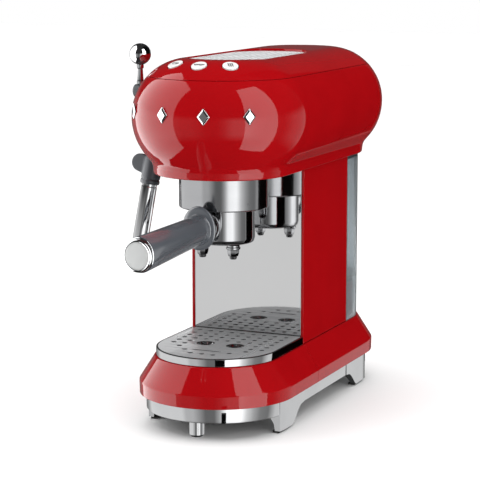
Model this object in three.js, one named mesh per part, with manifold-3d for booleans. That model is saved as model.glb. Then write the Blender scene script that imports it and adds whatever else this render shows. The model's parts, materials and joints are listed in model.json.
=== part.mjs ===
// Espresso machine with a round-ended base and head, a filter holder, a steam wand and a water tank.
// Millimetres, +Z up, -Y towards the user. Heights are measured from the surface it stands on.

import * as THREE from 'three';
import { mergeVertices } from 'three/addons/utils/BufferGeometryUtils.js';
import Module from 'manifold-3d';

const wasm = await Module();
wasm.setup();

// ---------------------------------------------------------------- driving dimensions

const GAP = 0.3; // clearance between pieces that touch
const WALL = 2.5; // moulded and pressed covers
const END_STEPS = 10; // facets round each half-round end
const TURN_STEPS = 24; // facets round a turned piece

const BASE = {
  spine: 90, topMargin: 1.1, slopeRun: 13.1, skirtDraft: 0.3, skirtHeight: 10.7, slopeHeight: 20.8,
  plateThickness: 2.5,
};
const PLINTH = {
  inset: 5, wall: 5, legThickness: 10, bandHeight: 12.7, legHeight: 26,
  legFront: 11.6, legToe: -14, legHeel: -35, padHeight: 2, padInset: 1.5,
};
const FOOT = { radius: 6.3, ahead: 44 };
const PAN = { inset: 5.9, depth: 26, wall: 2, flange: 3.8, flangeThickness: 1.7 };
const GRATE = {
  overhang: 0.2, height: 6.5, sheet: 1.2, skirt: 1.5, holeRadius: 2.1, pitchX: 10, pitchY: 10.45,
  firstRow: 9.5, dishX: 13.5, dishRadius: 7.7, dishBehindSpout: 4.5,
  slotAhead: 24.9, slotLength: 24, slotWidth: 2.4,
};
const COLUMN = { halfWidth: 52.1, front: -31.5, rearInset: 17.2, height: 150.3, edge: 2.5, web: 2.5 };
const PANEL = { thickness: 1.5, setBack: 0.5 };
const TANK = {
  inset: 0.1, wall: 2, recessHeight: 37.7, topClearance: 0.8, lidThickness: 2.5,
  fillHalfWidth: 20, fillLength: 34, fillRear: 30,
};
const DOCK = { inset: 5, height: 32.7, sealHeight: 3.7 };
const VALVE = { height: 48, radius: 4.2, length: 16, bodyRadius: 7, bodyLength: 5, portClearance: 1.5 };
const HEAD = {
  frontInset: 8.2, rearInset: 3.7, overhang: 22.4, middle: 46.7, upperRadius: 47.5, lowerRadius: 50,
  lipMargin: 5.3, lipHeight: 6, waistHeight: 13.5, seam: 79.7, floorRise: 1.5, floorThickness: 2.5,
  ceilingDepth: 6, skirtDepth: 4, skirtWall: 2,
};
const WARMER = {
  inset: 40.5, ahead: 25.2, shortOfRear: 40.3, setBack: 1.9, thickness: 1.2, pitch: 15, holeRadius: 3.2,
};
const BUTTON = { inset: 29, spread: 32, radius: 6.5, proud: 1.4, length: 5 };
const HOLDER = {
  radius: 25.7, wall: 2.1, rim: 6.1, drop: 29.3, floor: 4.3, corner: 4,
  lug: 2.3, lugHalfWidth: 5, lugHeight: 3.8,
};
const GROUP = {
  behindHeadFront: 2.5, wall: 2.8, clearance: 0.4, drop: 28.3, lipHeight: 5.5, above: 7, ceiling: 6,
  gasket: 7, entryAngle: 55, entryWidth: 28, screwHole: 3,
};
const BASKET = { clearance: 0.4, wall: 0.8, rimInset: 1.3, depth: 32 };
const SPOUT = {
  x: 13.8, ahead: 12.6, radius: 6, mouth: 4.2, height: 9.4, bore: 2.4, tipRadius: 3, tipHeight: 2.4,
};
const HANDLE = {
  height: -10.6, tilt: 2.1, neckRadius: 12, waistRadius: 8, guardClear: 10.2, guardThickness: 3,
  guardHalfWidth: 14.5, guardAbove: 19, guardBelow: 17, rootHalf: 12, endHalf: 14, slim: 0.88, length: 130.5,
  groove: 1.4, capThickness: 3.2, capHalf: 12.8,
};
const LEVER = {
  behindGroup: 19.3, height: 62.7, hubRadius: 5.6, hubWidth: 10.6, clear: 2.4, shaftRadius: 3, shaftDepth: 16,
  stemRadius: 2.3, ballRadius: 9.1, reach: 31, valveRadius: 6.2,
};
const WAND = {
  behindGroup: 6.8, clear: 2.7, height: 5, ballRadius: 5.4, gripRadius: 8.2, gripDrop: 19.5,
  leanOut: 7, leanFront: 8, tubeRadius: 6.7, tubeLength: 57, nozzleRadius: 4.6, nozzleLength: 10,
  socketRadius: 3.2, socketDepth: 4, mouth: 7.5,
  tabLength: 16, tabWidth: 15, tabThickness: 5, tabTilt: 75, tabDrop: 5,
};
const HEATER = { halfWidth: 34, ahead: 6.7, length: 80, low: 15.7, high: 69.7, footRadius: 18, inlet: 14 };
const PUMP = { x: 12, behindMiddle: 1.35, radius: 18, length: 76, mountHeight: 14, inlet: 20 };
const BOARD = { x: -40, thickness: 1.6, halfWidth: 28, low: 30, high: 125 };
const BUTTON_BOARD = { halfWidth: 28, depth: 14, below: 3.5 };
const SWITCH = {
  fromRear: 30.8, height: 38, halfWidth: 6.5, halfHeight: 9.5, frame: 2.2, proud: 1.4,
  rim: 1.2, depth: 8, tilt: 7,
};
const GLAND = { radius: 4.6, bore: 2.4, wall: 1.2, length: 8, height: 5.4, flange: 2.2 };
const PASSAGE = { halfWidth: 24, length: 52 };
const HOSE_RADIUS = 3;
const PIPE_RADIUS = 2;

// ---------------------------------------------------------------- heights that follow

const plinthTop = PLINTH.padHeight + PLINTH.legHeight;
const baseBottom = plinthTop + GAP;
const baseEdge = baseBottom + BASE.skirtHeight;
const baseTop = baseEdge + BASE.slopeHeight;
const headBottom = baseTop + COLUMN.height;
const headMiddle = headBottom + HEAD.middle;
const headTop = headMiddle + HEAD.upperRadius;
const headSeam = headBottom + HEAD.seam;
const headFloor = headBottom + HEAD.floorRise;
const columnTop = headFloor - GAP;
const grateTop = baseTop + GAP + GRATE.height;
const tankTop = headBottom - TANK.topClearance;
const groupBottom = headBottom - GROUP.drop;
const groupCeiling = headBottom + GROUP.above - GROUP.ceiling;
const rimTop = groupCeiling - GROUP.gasket;
const holderBottom = groupBottom - HOLDER.drop;
const valveZ = baseTop + VALVE.height;
const leverZ = headBottom + LEVER.height;
const wandZ = headBottom + WAND.height;

// ---------------------------------------------------------------- half widths that follow

const baseTopRadius = COLUMN.halfWidth + BASE.topMargin;
const baseEdgeRadius = baseTopRadius + BASE.slopeRun;
const baseSkirtRadius = baseEdgeRadius - BASE.skirtDraft;
const plinthRadius = baseSkirtRadius - PLINTH.inset;
const panRadius = COLUMN.halfWidth - PAN.inset;
const grateRadius = COLUMN.halfWidth + GRATE.overhang;
const tankRadius = COLUMN.halfWidth - TANK.inset;
const dockRadius = tankRadius - DOCK.inset;
const headRadius = COLUMN.halfWidth + HEAD.overhang;
const warmerRadius = headRadius - WARMER.inset;
const buttonReach = headRadius - BUTTON.inset;
const lipRadius = COLUMN.halfWidth + HEAD.lipMargin;
const insideColumn = COLUMN.halfWidth - COLUMN.edge - GAP;
const holderBore = HOLDER.radius - HOLDER.wall;
const rimRadius = HOLDER.radius + HOLDER.rim;
const lugRadius = rimRadius + HOLDER.lug;
const collarLip = rimRadius + GROUP.clearance;
const collarBore = lugRadius + GROUP.clearance;
const collarRadius = collarBore + GROUP.wall;
const basketRadius = holderBore - BASKET.clearance;

// ---------------------------------------------------------------- places that follow

const columnRear = BASE.spine - COLUMN.rearInset;
const columnMiddle = (COLUMN.front + columnRear) / 2;
const panelFront = COLUMN.front + PANEL.setBack;
const panelRear = panelFront + PANEL.thickness;
const headFront = -BASE.spine + HEAD.frontInset;
const headRear = BASE.spine - HEAD.rearInset;
const warmerFront = headFront - WARMER.ahead + warmerRadius;
const warmerRear = headRear - WARMER.shortOfRear - warmerRadius;
const groupY = headFront + GROUP.behindHeadFront;
const spoutY = groupY - SPOUT.ahead;
const dishY = spoutY + GRATE.dishBehindSpout;
const slotY = dishY - GRATE.slotAhead;
const footY = -BASE.spine - FOOT.ahead;
const guardStart = collarRadius + HANDLE.guardClear;
const leverX = -(headRadius + LEVER.ballRadius + LEVER.clear);
const leverY = groupY + LEVER.behindGroup;
const wandX = -(lipRadius + WAND.gripRadius + WAND.clear);
const wandY = groupY + WAND.behindGroup;
const heaterFront = groupY - HEATER.ahead;
const heaterRear = heaterFront + HEATER.length;
const pumpY = columnMiddle + PUMP.behindMiddle;
const switchY = columnRear - SWITCH.fromRear;
const switchZ = baseTop + SWITCH.height;
const glandZ = baseBottom + GLAND.height;
const leverShaftEnd = -(headRadius - LEVER.shaftDepth);
const socketEnd = -lipRadius + WALL + WAND.socketDepth;

// ---------------------------------------------------------------- materials

function finish(color, roughness, metalness, opacity = 1) {
  return new THREE.MeshStandardMaterial({ color, roughness, metalness, opacity, transparent: opacity < 1 });
}

const RED = () => finish(0xb01014, 0.15, 0);
const CHROME = () => finish(0xe8e8e8, 0.05, 1);
const STEEL = () => finish(0xb8babd, 0.3, 1);
const MIRROR = () => finish(0xd8d8da, 0.04, 1);
const GREY = () => finish(0x5f646b, 0.4, 0);
const BLACK = () => finish(0x17181a, 0.6, 0);
const ALUMINIUM = () => finish(0x9a9ca0, 0.45, 1);
const BRASS = () => finish(0xb08d4a, 0.35, 1);
const CLEAR = () => finish(0xc8d0d6, 0.1, 0, 0.4);
const WHITE = () => finish(0xeeeeec, 0.3, 0);
const BOARD_GREEN = () => finish(0x1d5a3a, 0.5, 0);
const HOSE = () => finish(0xd9d9d2, 0.5, 0);

// ---------------------------------------------------------------- solids

// Turns a closed geometry into a solid that can be cut and joined.
function solid(geometry) {
  geometry.deleteAttribute('normal');
  geometry.deleteAttribute('uv');
  const merged = mergeVertices(geometry, 1e-4);
  const position = merged.attributes.position.array;
  const corners = [];
  let volume = 0;
  for (let i = 0; i < merged.index.count; i += 3) {
    const [a, b, c] = [0, 1, 2].map((k) => merged.index.getX(i + k));
    if (a === b || b === c || c === a) continue;
    corners.push(a, b, c);
    const [pa, pb, pc] = [a, b, c].map((k) => new THREE.Vector3().fromArray(position, 3 * k));
    volume += pa.dot(pb.cross(pc));
  }
  if (volume < 0) corners.reverse();
  const mesh = new wasm.Mesh({
    numProp: 3,
    vertProperties: new Float32Array(position),
    triVerts: new Uint32Array(corners),
  });
  mesh.merge();
  return new wasm.Manifold(mesh);
}

// Names a solid and gives it its material, ready for the assembly.
function piece(name, body, material) {
  const source = body.getMesh();
  const geometry = new THREE.BufferGeometry();
  geometry.setAttribute('position', new THREE.BufferAttribute(source.vertProperties, 3));
  geometry.setIndex(new THREE.BufferAttribute(source.triVerts, 1));
  const flat = geometry.toNonIndexed();
  flat.computeVertexNormals();
  const mesh = new THREE.Mesh(flat, material);
  mesh.name = name;
  return mesh;
}

// Applies a move or a turn to a geometry before it becomes a solid.
function placed(geometry, x, y, z) {
  geometry.translate(x, y, z);
  return solid(geometry);
}

function block(x0, x1, y0, y1, z0, z1) {
  const geometry = new THREE.BoxGeometry(x1 - x0, y1 - y0, z1 - z0);
  return placed(geometry, (x0 + x1) / 2, (y0 + y1) / 2, (z0 + z1) / 2);
}

// Straight-sided solid from a plan outline between two heights.
function prism(points, low, high, holes = []) {
  const shape = new THREE.Shape(points);
  for (const hole of holes) shape.holes.push(new THREE.Path(hole));
  const geometry = new THREE.ExtrudeGeometry(shape, { depth: high - low, bevelEnabled: false });
  return placed(geometry, 0, 0, low);
}

// Solid of revolution about Z; a profile is a list of [radius, height].
function turned(profile, x = 0, y = 0, steps = TURN_STEPS) {
  const closed = profile[0][0] > 0 ? [...profile, profile[0]] : profile;
  const geometry = new THREE.LatheGeometry(closed.map(([r, z]) => new THREE.Vector2(r, z)), steps);
  geometry.rotateX(Math.PI / 2);
  return placed(geometry, x, y, 0);
}

// Cylinder from one point along an axis letter, with an optional second radius at its far end.
function rod(axis, radius, from, length, farRadius = radius, steps = 16) {
  const geometry = new THREE.CylinderGeometry(farRadius, radius, length, steps);
  geometry.translate(0, length / 2, 0);
  if (axis === 'x') geometry.rotateZ(-Math.PI / 2);
  if (axis === 'z') geometry.rotateX(Math.PI / 2);
  return placed(geometry, ...from);
}

// Tube of round section that follows a smooth curve through the points.
function hose(points, radius, steps = 14) {
  const section = new THREE.Shape(circle(radius, 8));
  const curve = new THREE.CatmullRomCurve3(points.map((p) => new THREE.Vector3(...p)));
  return solid(new THREE.ExtrudeGeometry(section, { steps, extrudePath: curve, bevelEnabled: false }));
}

// Closed solid through rings that all have the same number of points.
function loft(rings) {
  const count = rings[0].length;
  const points = rings.flat();
  const faces = [];
  for (let r = 0; r + 1 < rings.length; r++) {
    for (let i = 0; i < count; i++) {
      const a = r * count + i;
      const b = r * count + ((i + 1) % count);
      faces.push(a, b, b + count, a, b + count, a + count);
    }
  }
  const last = (rings.length - 1) * count;
  for (let i = 1; i + 1 < count; i++) {
    faces.push(0, i + 1, i);
    faces.push(last, last + i, last + i + 1);
  }
  const geometry = new THREE.BufferGeometry().setFromPoints(points);
  geometry.setIndex(faces);
  return solid(geometry);
}

// ---------------------------------------------------------------- outlines

function circle(radius, steps, x = 0, y = 0) {
  return Array.from({ length: steps }, (_, i) => {
    const angle = (2 * Math.PI * i) / steps;
    return new THREE.Vector2(x + radius * Math.cos(angle), y + radius * Math.sin(angle));
  });
}

// Outline with a half-round front and rear; front and rear are the centres of the two ends.
function stadium(radius, front, rear) {
  const points = [];
  for (const [centre, start] of [[front, Math.PI], [rear, 0]]) {
    for (let i = 0; i <= END_STEPS; i++) {
      const angle = start + (Math.PI * i) / END_STEPS;
      points.push(new THREE.Vector2(radius * Math.cos(angle), centre + radius * Math.sin(angle)));
    }
  }
  return points;
}

// Solid whose [radius, height] profile is carried round a stadium; radius 0 lies on its spine.
function swept(profile, front, rear) {
  const rings = profile.map(([r, z]) => stadium(r, front, rear).map((p) => new THREE.Vector3(p.x, p.y, z)));
  if (profile[0][0] > 0) rings.push(rings[0]);
  const count = rings[0].length;
  const faces = [];
  for (let r = 0; r + 1 < rings.length; r++) {
    for (let i = 0; i < count; i++) {
      const a = r * count + i;
      const b = r * count + ((i + 1) % count);
      faces.push(a, b, b + count, a, b + count, a + count);
    }
  }
  const geometry = new THREE.BufferGeometry().setFromPoints(rings.flat());
  geometry.setIndex(faces);
  return solid(geometry);
}

// Flat front, half-round rear: the plan of the water tank and what stands inside it.
function tankOutline(radius, front) {
  const points = [new THREE.Vector2(radius, front)];
  for (let i = 0; i <= END_STEPS; i++) {
    const angle = (Math.PI * i) / END_STEPS;
    points.push(new THREE.Vector2(radius * Math.cos(angle), BASE.spine + radius * Math.sin(angle)));
  }
  points.push(new THREE.Vector2(-radius, front));
  return points;
}

function arc(centreR, centreZ, radius, from, to, steps) {
  return Array.from({ length: steps + 1 }, (_, i) => {
    const angle = ((from + ((to - from) * i) / steps) * Math.PI) / 180;
    return [centreR + radius * Math.cos(angle), centreZ + radius * Math.sin(angle)];
  });
}

// Everything on one side of a height or of a plane across the machine.
const FAR = 600;
const above = (z) => block(-FAR, FAR, -FAR, FAR, z, FAR);
const below = (z) => block(-FAR, FAR, -FAR, FAR, -FAR, z);
const inFrontOf = (y) => block(-FAR, FAR, -FAR, y, -FAR, FAR);
const behind = (y) => block(-FAR, FAR, y, FAR, -FAR, FAR);

// ---------------------------------------------------------------- plinth and base

// Side view of a leg: upright front edge, flat toe, hollow curve up to the band.
function legSide() {
  const bandBottom = plinthTop - PLINTH.bandHeight;
  const rise = bandBottom - PLINTH.padHeight;
  const front = -BASE.spine - PLINTH.legFront;
  const toe = -BASE.spine - PLINTH.legToe;
  const heel = -BASE.spine - PLINTH.legHeel;
  const points = [[front, plinthTop], [front, PLINTH.padHeight]];
  for (let i = 0; i <= 4; i++) {
    const t = i / 4;
    points.push([toe + (heel - toe) * t, PLINTH.padHeight + rise * Math.sin((t * Math.PI) / 2)]);
  }
  points.push([heel, plinthTop]);
  return points;
}

// The legs of one end: a thick ring of the plinth, kept only where the side view allows.
function legPair(side) {
  const outer = prism(stadium(plinthRadius, -BASE.spine, BASE.spine), PLINTH.padHeight, plinthTop);
  const inner = prism(stadium(plinthRadius - PLINTH.legThickness, -BASE.spine, BASE.spine), 0, plinthTop + 1);
  const shape = new THREE.Shape(legSide().map(([y, z]) => new THREE.Vector2(y * side, z)));
  const geometry = new THREE.ExtrudeGeometry(shape, { depth: 4 * plinthRadius, bevelEnabled: false });
  geometry.rotateX(Math.PI / 2);
  geometry.rotateZ(Math.PI / 2);
  return outer.subtract(inner).intersect(placed(geometry, -2 * plinthRadius, 0, 0));
}

function plinthFrame() {
  const bandBottom = plinthTop - PLINTH.bandHeight;
  const outline = stadium(plinthRadius, -BASE.spine, BASE.spine);
  const hole = stadium(plinthRadius - PLINTH.wall, -BASE.spine, BASE.spine);
  const band = prism(outline, bandBottom, plinthTop, [hole]);
  return piece('plinth_frame', band.add(legPair(1)).add(legPair(-1)), CHROME());
}

function legPads() {
  const inset = PLINTH.padInset;
  const outerX = plinthRadius - inset - 1;
  const innerX = plinthRadius - PLINTH.legThickness + inset;
  const near = BASE.spine + PLINTH.legToe + inset;
  const far = BASE.spine + PLINTH.legFront - inset;
  const pads = [];
  for (const [end, sideY] of [['front', -1], ['rear', 1]]) {
    for (const [hand, sideX] of [['left', -1], ['right', 1]]) {
      const xs = [sideX * innerX, sideX * outerX].sort((a, b) => a - b);
      const ys = [sideY * near, sideY * far].sort((a, b) => a - b);
      const pad = block(...xs, ...ys, 0, PLINTH.padHeight - GAP);
      pads.push(piece(`leg_pad_${end}_${hand}`, pad, BLACK()));
    }
  }
  return pads;
}

function basePlate() {
  const top = plinthTop - 1;
  const outline = stadium(plinthRadius - PLINTH.legThickness - GAP, -BASE.spine, BASE.spine);
  return piece('base_plate', prism(outline, top - BASE.plateThickness, top), BLACK());
}

function frontFoot() {
  const top = plinthTop - 1 - BASE.plateThickness - GAP;
  const r = FOOT.radius;
  const profile = [[0, 0], [r - 1, 0], [r, 1], [r, top], [0, top]];
  return piece('front_foot', turned(profile, 0, footY, 16), CHROME());
}

function baseOuter() {
  return swept([
    [0, baseBottom], [baseSkirtRadius, baseBottom], [baseEdgeRadius, baseEdge],
    [baseTopRadius, baseTop], [0, baseTop],
  ], -BASE.spine, BASE.spine);
}

function baseInner() {
  const thin = WALL * 1.2;
  return swept([
    [0, baseBottom - 1], [baseSkirtRadius - WALL, baseBottom - 1], [baseEdgeRadius - thin, baseEdge],
    [baseTopRadius - thin, baseTop - WALL], [0, baseTop - WALL],
  ], -BASE.spine, BASE.spine);
}

function panOpening(extra) {
  return trayOutline(panRadius + extra, COLUMN.front - GAP - WALL + extra);
}

// Half-round front, flat rear: the plan of the drip tray.
function trayOutline(radius, rear) {
  const points = [new THREE.Vector2(-radius, rear)];
  for (let i = 0; i <= END_STEPS; i++) {
    const angle = Math.PI + (Math.PI * i) / END_STEPS;
    points.push(new THREE.Vector2(radius * Math.cos(angle), -BASE.spine + radius * Math.sin(angle)));
  }
  points.push(new THREE.Vector2(radius, rear));
  return points;
}

function baseCovers() {
  const hollow = baseOuter().subtract(baseInner());
  const opening = prism(panOpening(GAP), baseTop - 2 * WALL, baseTop + 1);
  const rearEdge = block(
    -panRadius - GAP, panRadius + GAP, COLUMN.front - 2 * WALL, COLUMN.front, baseTop - 2 * WALL, baseTop + 1,
  );
  const front = hollow.intersect(inFrontOf(COLUMN.front)).subtract(opening).subtract(rearEdge);
  const passage = block(-PASSAGE.halfWidth, PASSAGE.halfWidth, columnMiddle - PASSAGE.length / 2,
    columnMiddle + PASSAGE.length / 2, baseTop - 2 * WALL, baseTop + 1);
  const glandStart = [0, BASE.spine + baseTopRadius, glandZ];
  const glandHole = rod('y', GLAND.bore + GLAND.wall + GAP, glandStart, 2 * BASE.slopeRun);
  const rear = hollow.intersect(behind(COLUMN.front + GAP)).subtract(passage).subtract(glandHole);
  return [piece('base_front_cover', front, RED()), piece('base_rear_cover', rear, RED())];
}

function cableGland() {
  const outside = BASE.spine + baseEdgeRadius + GAP;
  const inside = outside - GLAND.length;
  const flange = rod('y', GLAND.radius, [0, outside, glandZ], GLAND.flange);
  const barrel = rod('y', GLAND.bore + GLAND.wall, [0, inside, glandZ], GLAND.length + 1);
  const bore = rod('y', GLAND.bore, [0, inside - 1, glandZ], GLAND.length + GLAND.flange + 2);
  return piece('cable_gland', flange.add(barrel).subtract(bore), BLACK());
}

// ---------------------------------------------------------------- drip tray

function dripPan() {
  const rear = COLUMN.front - GAP - WALL;
  const top = baseTop + GAP + PAN.flangeThickness;
  const bottom = baseTop - PAN.depth;
  const body = prism(trayOutline(panRadius, rear), bottom, top);
  const flange = prism(trayOutline(panRadius + PAN.flange, rear), baseTop + GAP, top);
  const hollow = prism(trayOutline(panRadius - PAN.wall, rear - PAN.wall), bottom + PAN.wall, top + 1);
  return piece('drip_pan', body.add(flange).subtract(hollow), BLACK());
}

// Plan centres of the small drain holes: a square grid that leaves room for the dishes and the slot.
function drainHoles() {
  const columns = [4, 4, 4, 4, 4, 4, 3, 2, 1];
  const centres = [];
  columns.forEach((reach, row) => {
    const y = COLUMN.front - GRATE.firstRow - row * GRATE.pitchY;
    for (let i = -reach; i <= reach; i++) {
      const middleTaken = row > 3 && row < 8 && Math.abs(i) < (row < 7 ? 3 : 2);
      if (!middleTaken) centres.push([i * GRATE.pitchX, y]);
    }
  });
  return centres;
}

function dripGrate() {
  const rear = COLUMN.front - GAP;
  const outline = trayOutline(grateRadius, rear);
  const half = GRATE.slotLength / 2;
  const slot = [[-half, -1], [half, -1], [half, 1], [-half, 1]].map(
    ([x, s]) => new THREE.Vector2(x - 1, slotY + (s * GRATE.slotWidth) / 2),
  );
  const holes = [slot];
  for (const side of [-1, 1]) holes.push(circle(GRATE.dishRadius, 12, side * GRATE.dishX, dishY));
  for (const [x, y] of drainHoles()) holes.push(circle(GRATE.holeRadius, 6, x, y));
  const sheet = prism(outline, grateTop - GRATE.sheet, grateTop, holes);
  const inside = trayOutline(grateRadius - GRATE.skirt, rear - GRATE.skirt);
  const skirt = prism(outline, baseTop + GAP, grateTop - GRATE.sheet / 2, [inside]);
  return piece('drip_grate', sheet.add(skirt), STEEL());
}

// ---------------------------------------------------------------- column

function columnCover() {
  const x = COLUMN.halfWidth;
  const inner = x - COLUMN.edge;
  const webFront = panelRear + GAP;
  const webRear = webFront + COLUMN.web;
  const rear = columnRear - GAP;
  const right = [
    [inner, webRear], [inner, rear], [x, rear], [x, COLUMN.front], [inner, COLUMN.front], [inner, webFront],
  ];
  const left = right.map(([px, py]) => [-px, py]).reverse();
  const outline = [...right.reverse(), ...left.reverse()].map(([px, py]) => new THREE.Vector2(px, py));
  const cut = block(-x - 5, -inner + 1, switchY - SWITCH.halfWidth, switchY + SWITCH.halfWidth,
    switchZ - SWITCH.halfHeight, switchZ + SWITCH.halfHeight);
  return piece('column_cover', prism(outline, baseTop + GAP, columnTop).subtract(cut), RED());
}

function splashPanel() {
  const x = COLUMN.halfWidth - COLUMN.edge - GAP;
  return piece('splash_panel', block(-x, x, panelFront, panelRear, baseTop + GAP, columnTop), MIRROR());
}

function rearWall() {
  const x = COLUMN.halfWidth - COLUMN.edge - GAP;
  const wall = block(-x, x, columnRear - GAP - WALL, columnRear - GAP, baseTop + GAP, columnTop);
  const port = rod('y', VALVE.radius + VALVE.portClearance, [0, columnRear - 2 * WALL, valveZ], 4 * WALL);
  return piece('rear_wall', wall.subtract(port), GREY());
}

// Rocker switch low on the side of the column: a frame set in the wall and a tilted rocker.
function powerSwitch() {
  const outside = -COLUMN.halfWidth - GAP;
  const { halfWidth, halfHeight, frame: lip, rim } = SWITCH;
  const across = (y, z, x0, x1) => block(x0, x1, switchY - y, switchY + y, switchZ - z, switchZ + z);
  const proud = outside - SWITCH.proud;
  const flange = across(halfWidth + lip, halfHeight + lip, proud, outside);
  const sleeve = across(halfWidth - GAP, halfHeight - GAP, proud + SWITCH.proud / 2, outside + SWITCH.depth);
  const opening = across(halfWidth - rim, halfHeight - rim, outside - FAR, outside + FAR);
  const frame = flange.add(sleeve).subtract(opening);
  const reach = halfHeight - rim - 1;
  const side = new THREE.Shape([
    [-3, -reach], [-0.5, -reach], [0.4, 0], [-0.5, reach], [-3, reach], [-7, 0],
  ].map(([a, b]) => new THREE.Vector2(a, b)));
  const width = 2 * (halfWidth - rim - GAP);
  const geometry = new THREE.ExtrudeGeometry(side, { depth: width, bevelEnabled: false });
  geometry.rotateX(Math.PI / 2);
  geometry.scale(-1, 1, 1);
  geometry.translate(0, width / 2, 0);
  const rocker = piece('power_switch', solid(geometry), BLACK());
  rocker.position.set(-COLUMN.halfWidth, switchY, switchZ);
  rocker.rotation.y = (SWITCH.tilt * Math.PI) / 180;
  return [piece('switch_frame', frame, BLACK()), rocker];
}

// ---------------------------------------------------------------- water tank

function waterTank() {
  const front = columnRear;
  const low = baseTop + GAP;
  const floor = low + TANK.recessHeight;
  const bodyTop = tankTop - TANK.lidThickness - GAP;
  const r = tankRadius;
  const outer = prism(tankOutline(r, front), low, bodyTop);
  const recess = prism(tankOutline(r - TANK.wall, front - 1), low - 1, floor);
  const water = prism(tankOutline(r - TANK.wall, front + TANK.wall), floor + TANK.wall, bodyTop + 1);
  const valveHole = rod('y', VALVE.radius + GAP, [0, front - 2, valveZ], 2 * TANK.wall + 2);
  const body = outer.subtract(recess).subtract(water).subtract(valveHole);
  const rearFill = BASE.spine + TANK.fillRear;
  const frontFill = rearFill - TANK.fillLength;
  const fill = [[-1, frontFill], [1, frontFill], [1, rearFill], [-1, rearFill]];
  const fillHole = fill.map(([s, y]) => new THREE.Vector2(s * TANK.fillHalfWidth, y));
  const lid = prism(tankOutline(r, front), tankTop - TANK.lidThickness, tankTop, [fillHole]);
  const seat = front + TANK.wall + GAP;
  const spigot = rod('y', VALVE.radius, [0, seat - VALVE.length + VALVE.bodyLength, valveZ], VALVE.length);
  const valveBody = rod('y', VALVE.bodyRadius, [0, seat, valveZ], VALVE.bodyLength);
  return [
    piece('tank_body', body, CLEAR()),
    piece('tank_lid', lid, GREY()),
    piece('tank_valve', spigot.add(valveBody), BLACK()),
  ];
}

function tankDock() {
  const front = columnRear + GAP;
  const low = baseTop + GAP;
  const top = low + DOCK.height;
  const body = prism(tankOutline(dockRadius, front), low, top);
  const seal = prism(tankOutline(dockRadius - 0.5, front), top + GAP, top + DOCK.sealHeight);
  return [piece('tank_dock', body, RED()), piece('tank_dock_seal', seal, BLACK())];
}

// ---------------------------------------------------------------- head

// Profile of the head from its lower lip to the middle of its top, drawn in by an inset.
function headProfile(inset) {
  const upperR = headRadius - HEAD.upperRadius;
  const lowerR = headRadius - HEAD.lowerRadius;
  const waist = Math.asin((HEAD.waistHeight - HEAD.middle) / HEAD.lowerRadius);
  const waistAngle = (waist * 180) / Math.PI;
  return [
    [0, headBottom - (inset > 0 ? 1 : 0)],
    [lipRadius - 1.6 - inset, headBottom - (inset > 0 ? 1 : 0)],
    [lipRadius - 0.4 - inset, headBottom + 1.6],
    [lipRadius - inset, headBottom + HEAD.lipHeight],
    [lipRadius + 1 - inset, headBottom + 1.6 * HEAD.lipHeight],
    ...arc(lowerR, headMiddle, HEAD.lowerRadius - inset, waistAngle, 0, 4),
    ...arc(upperR, headMiddle, HEAD.upperRadius - inset, 90 / 6, 90, 5),
    [0, headTop - inset],
  ];
}

const headSolid = (inset) => swept(headProfile(inset), headFront, headRear);

// Outer radius of the head at a height above its widest line.
function headRadiusAt(z) {
  const rise = z - headMiddle;
  return headRadius - HEAD.upperRadius + Math.sqrt(HEAD.upperRadius ** 2 - rise ** 2);
}

function headShell() {
  const shell = headSolid(0).subtract(headSolid(WALL)).intersect(below(headSeam - GAP / 2));
  const leverHole = rod('x', LEVER.shaftRadius + GAP, [-headRadius - 5, leverY, leverZ], 25);
  const socketHole = rod('x', WAND.socketRadius + GAP, [-lipRadius - 5, wandY, wandZ], 12);
  return piece('head_shell', shell.subtract(leverHole).subtract(socketHole), RED());
}

function headFloorPlate() {
  const outline = stadium(lipRadius - 1.6 - WALL - GAP, headFront, headRear);
  const collar = circle(collarRadius + GAP, TURN_STEPS, 0, groupY);
  const passage = [[-1, -1], [1, -1], [1, 1], [-1, 1]].map(([x, y]) => new THREE.Vector2(
    x * PASSAGE.halfWidth, columnMiddle + (y * PASSAGE.length) / 2));
  const plate = prism(outline, headFloor, headFloor + HEAD.floorThickness, [collar, passage]);
  const notchZ = headFloor + HEAD.floorThickness;
  const reach = 2 * WAND.socketRadius;
  const notch = block(-lipRadius, socketEnd + reach, wandY - reach, wandY + reach, headFloor - 1, notchZ + 1);
  return piece('head_floor', plate.subtract(notch), BLACK());
}

// Point and outward direction of a button on the front slope of the head.
function buttonPlace(angle) {
  const turn = (angle * Math.PI) / 180;
  const rise = Math.sqrt(HEAD.upperRadius ** 2 - (buttonReach - headRadius + HEAD.upperRadius) ** 2);
  const lean = Math.asin((buttonReach - headRadius + HEAD.upperRadius) / HEAD.upperRadius);
  const outward = new THREE.Vector3(Math.sin(turn), -Math.cos(turn), 0);
  const normal = outward.clone().multiplyScalar(Math.sin(lean)).add(new THREE.Vector3(0, 0, Math.cos(lean)));
  const point = outward.multiplyScalar(buttonReach).add(new THREE.Vector3(0, headFront, headMiddle + rise));
  return { point, normal };
}

// Cylinder that stands on a button's place, from a depth below the surface to a height above it.
function buttonSolid(angle, radius, deep, high) {
  const { point, normal } = buttonPlace(angle);
  const geometry = new THREE.CylinderGeometry(radius, radius, deep + high, 20);
  geometry.translate(0, (high - deep) / 2, 0);
  const turn = new THREE.Quaternion().setFromUnitVectors(new THREE.Vector3(0, 1, 0), normal);
  geometry.applyQuaternion(turn);
  return placed(geometry, point.x, point.y, point.z);
}

const BUTTONS = [['button_left', -BUTTON.spread], ['button_middle', 0], ['button_right', BUTTON.spread]];

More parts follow.
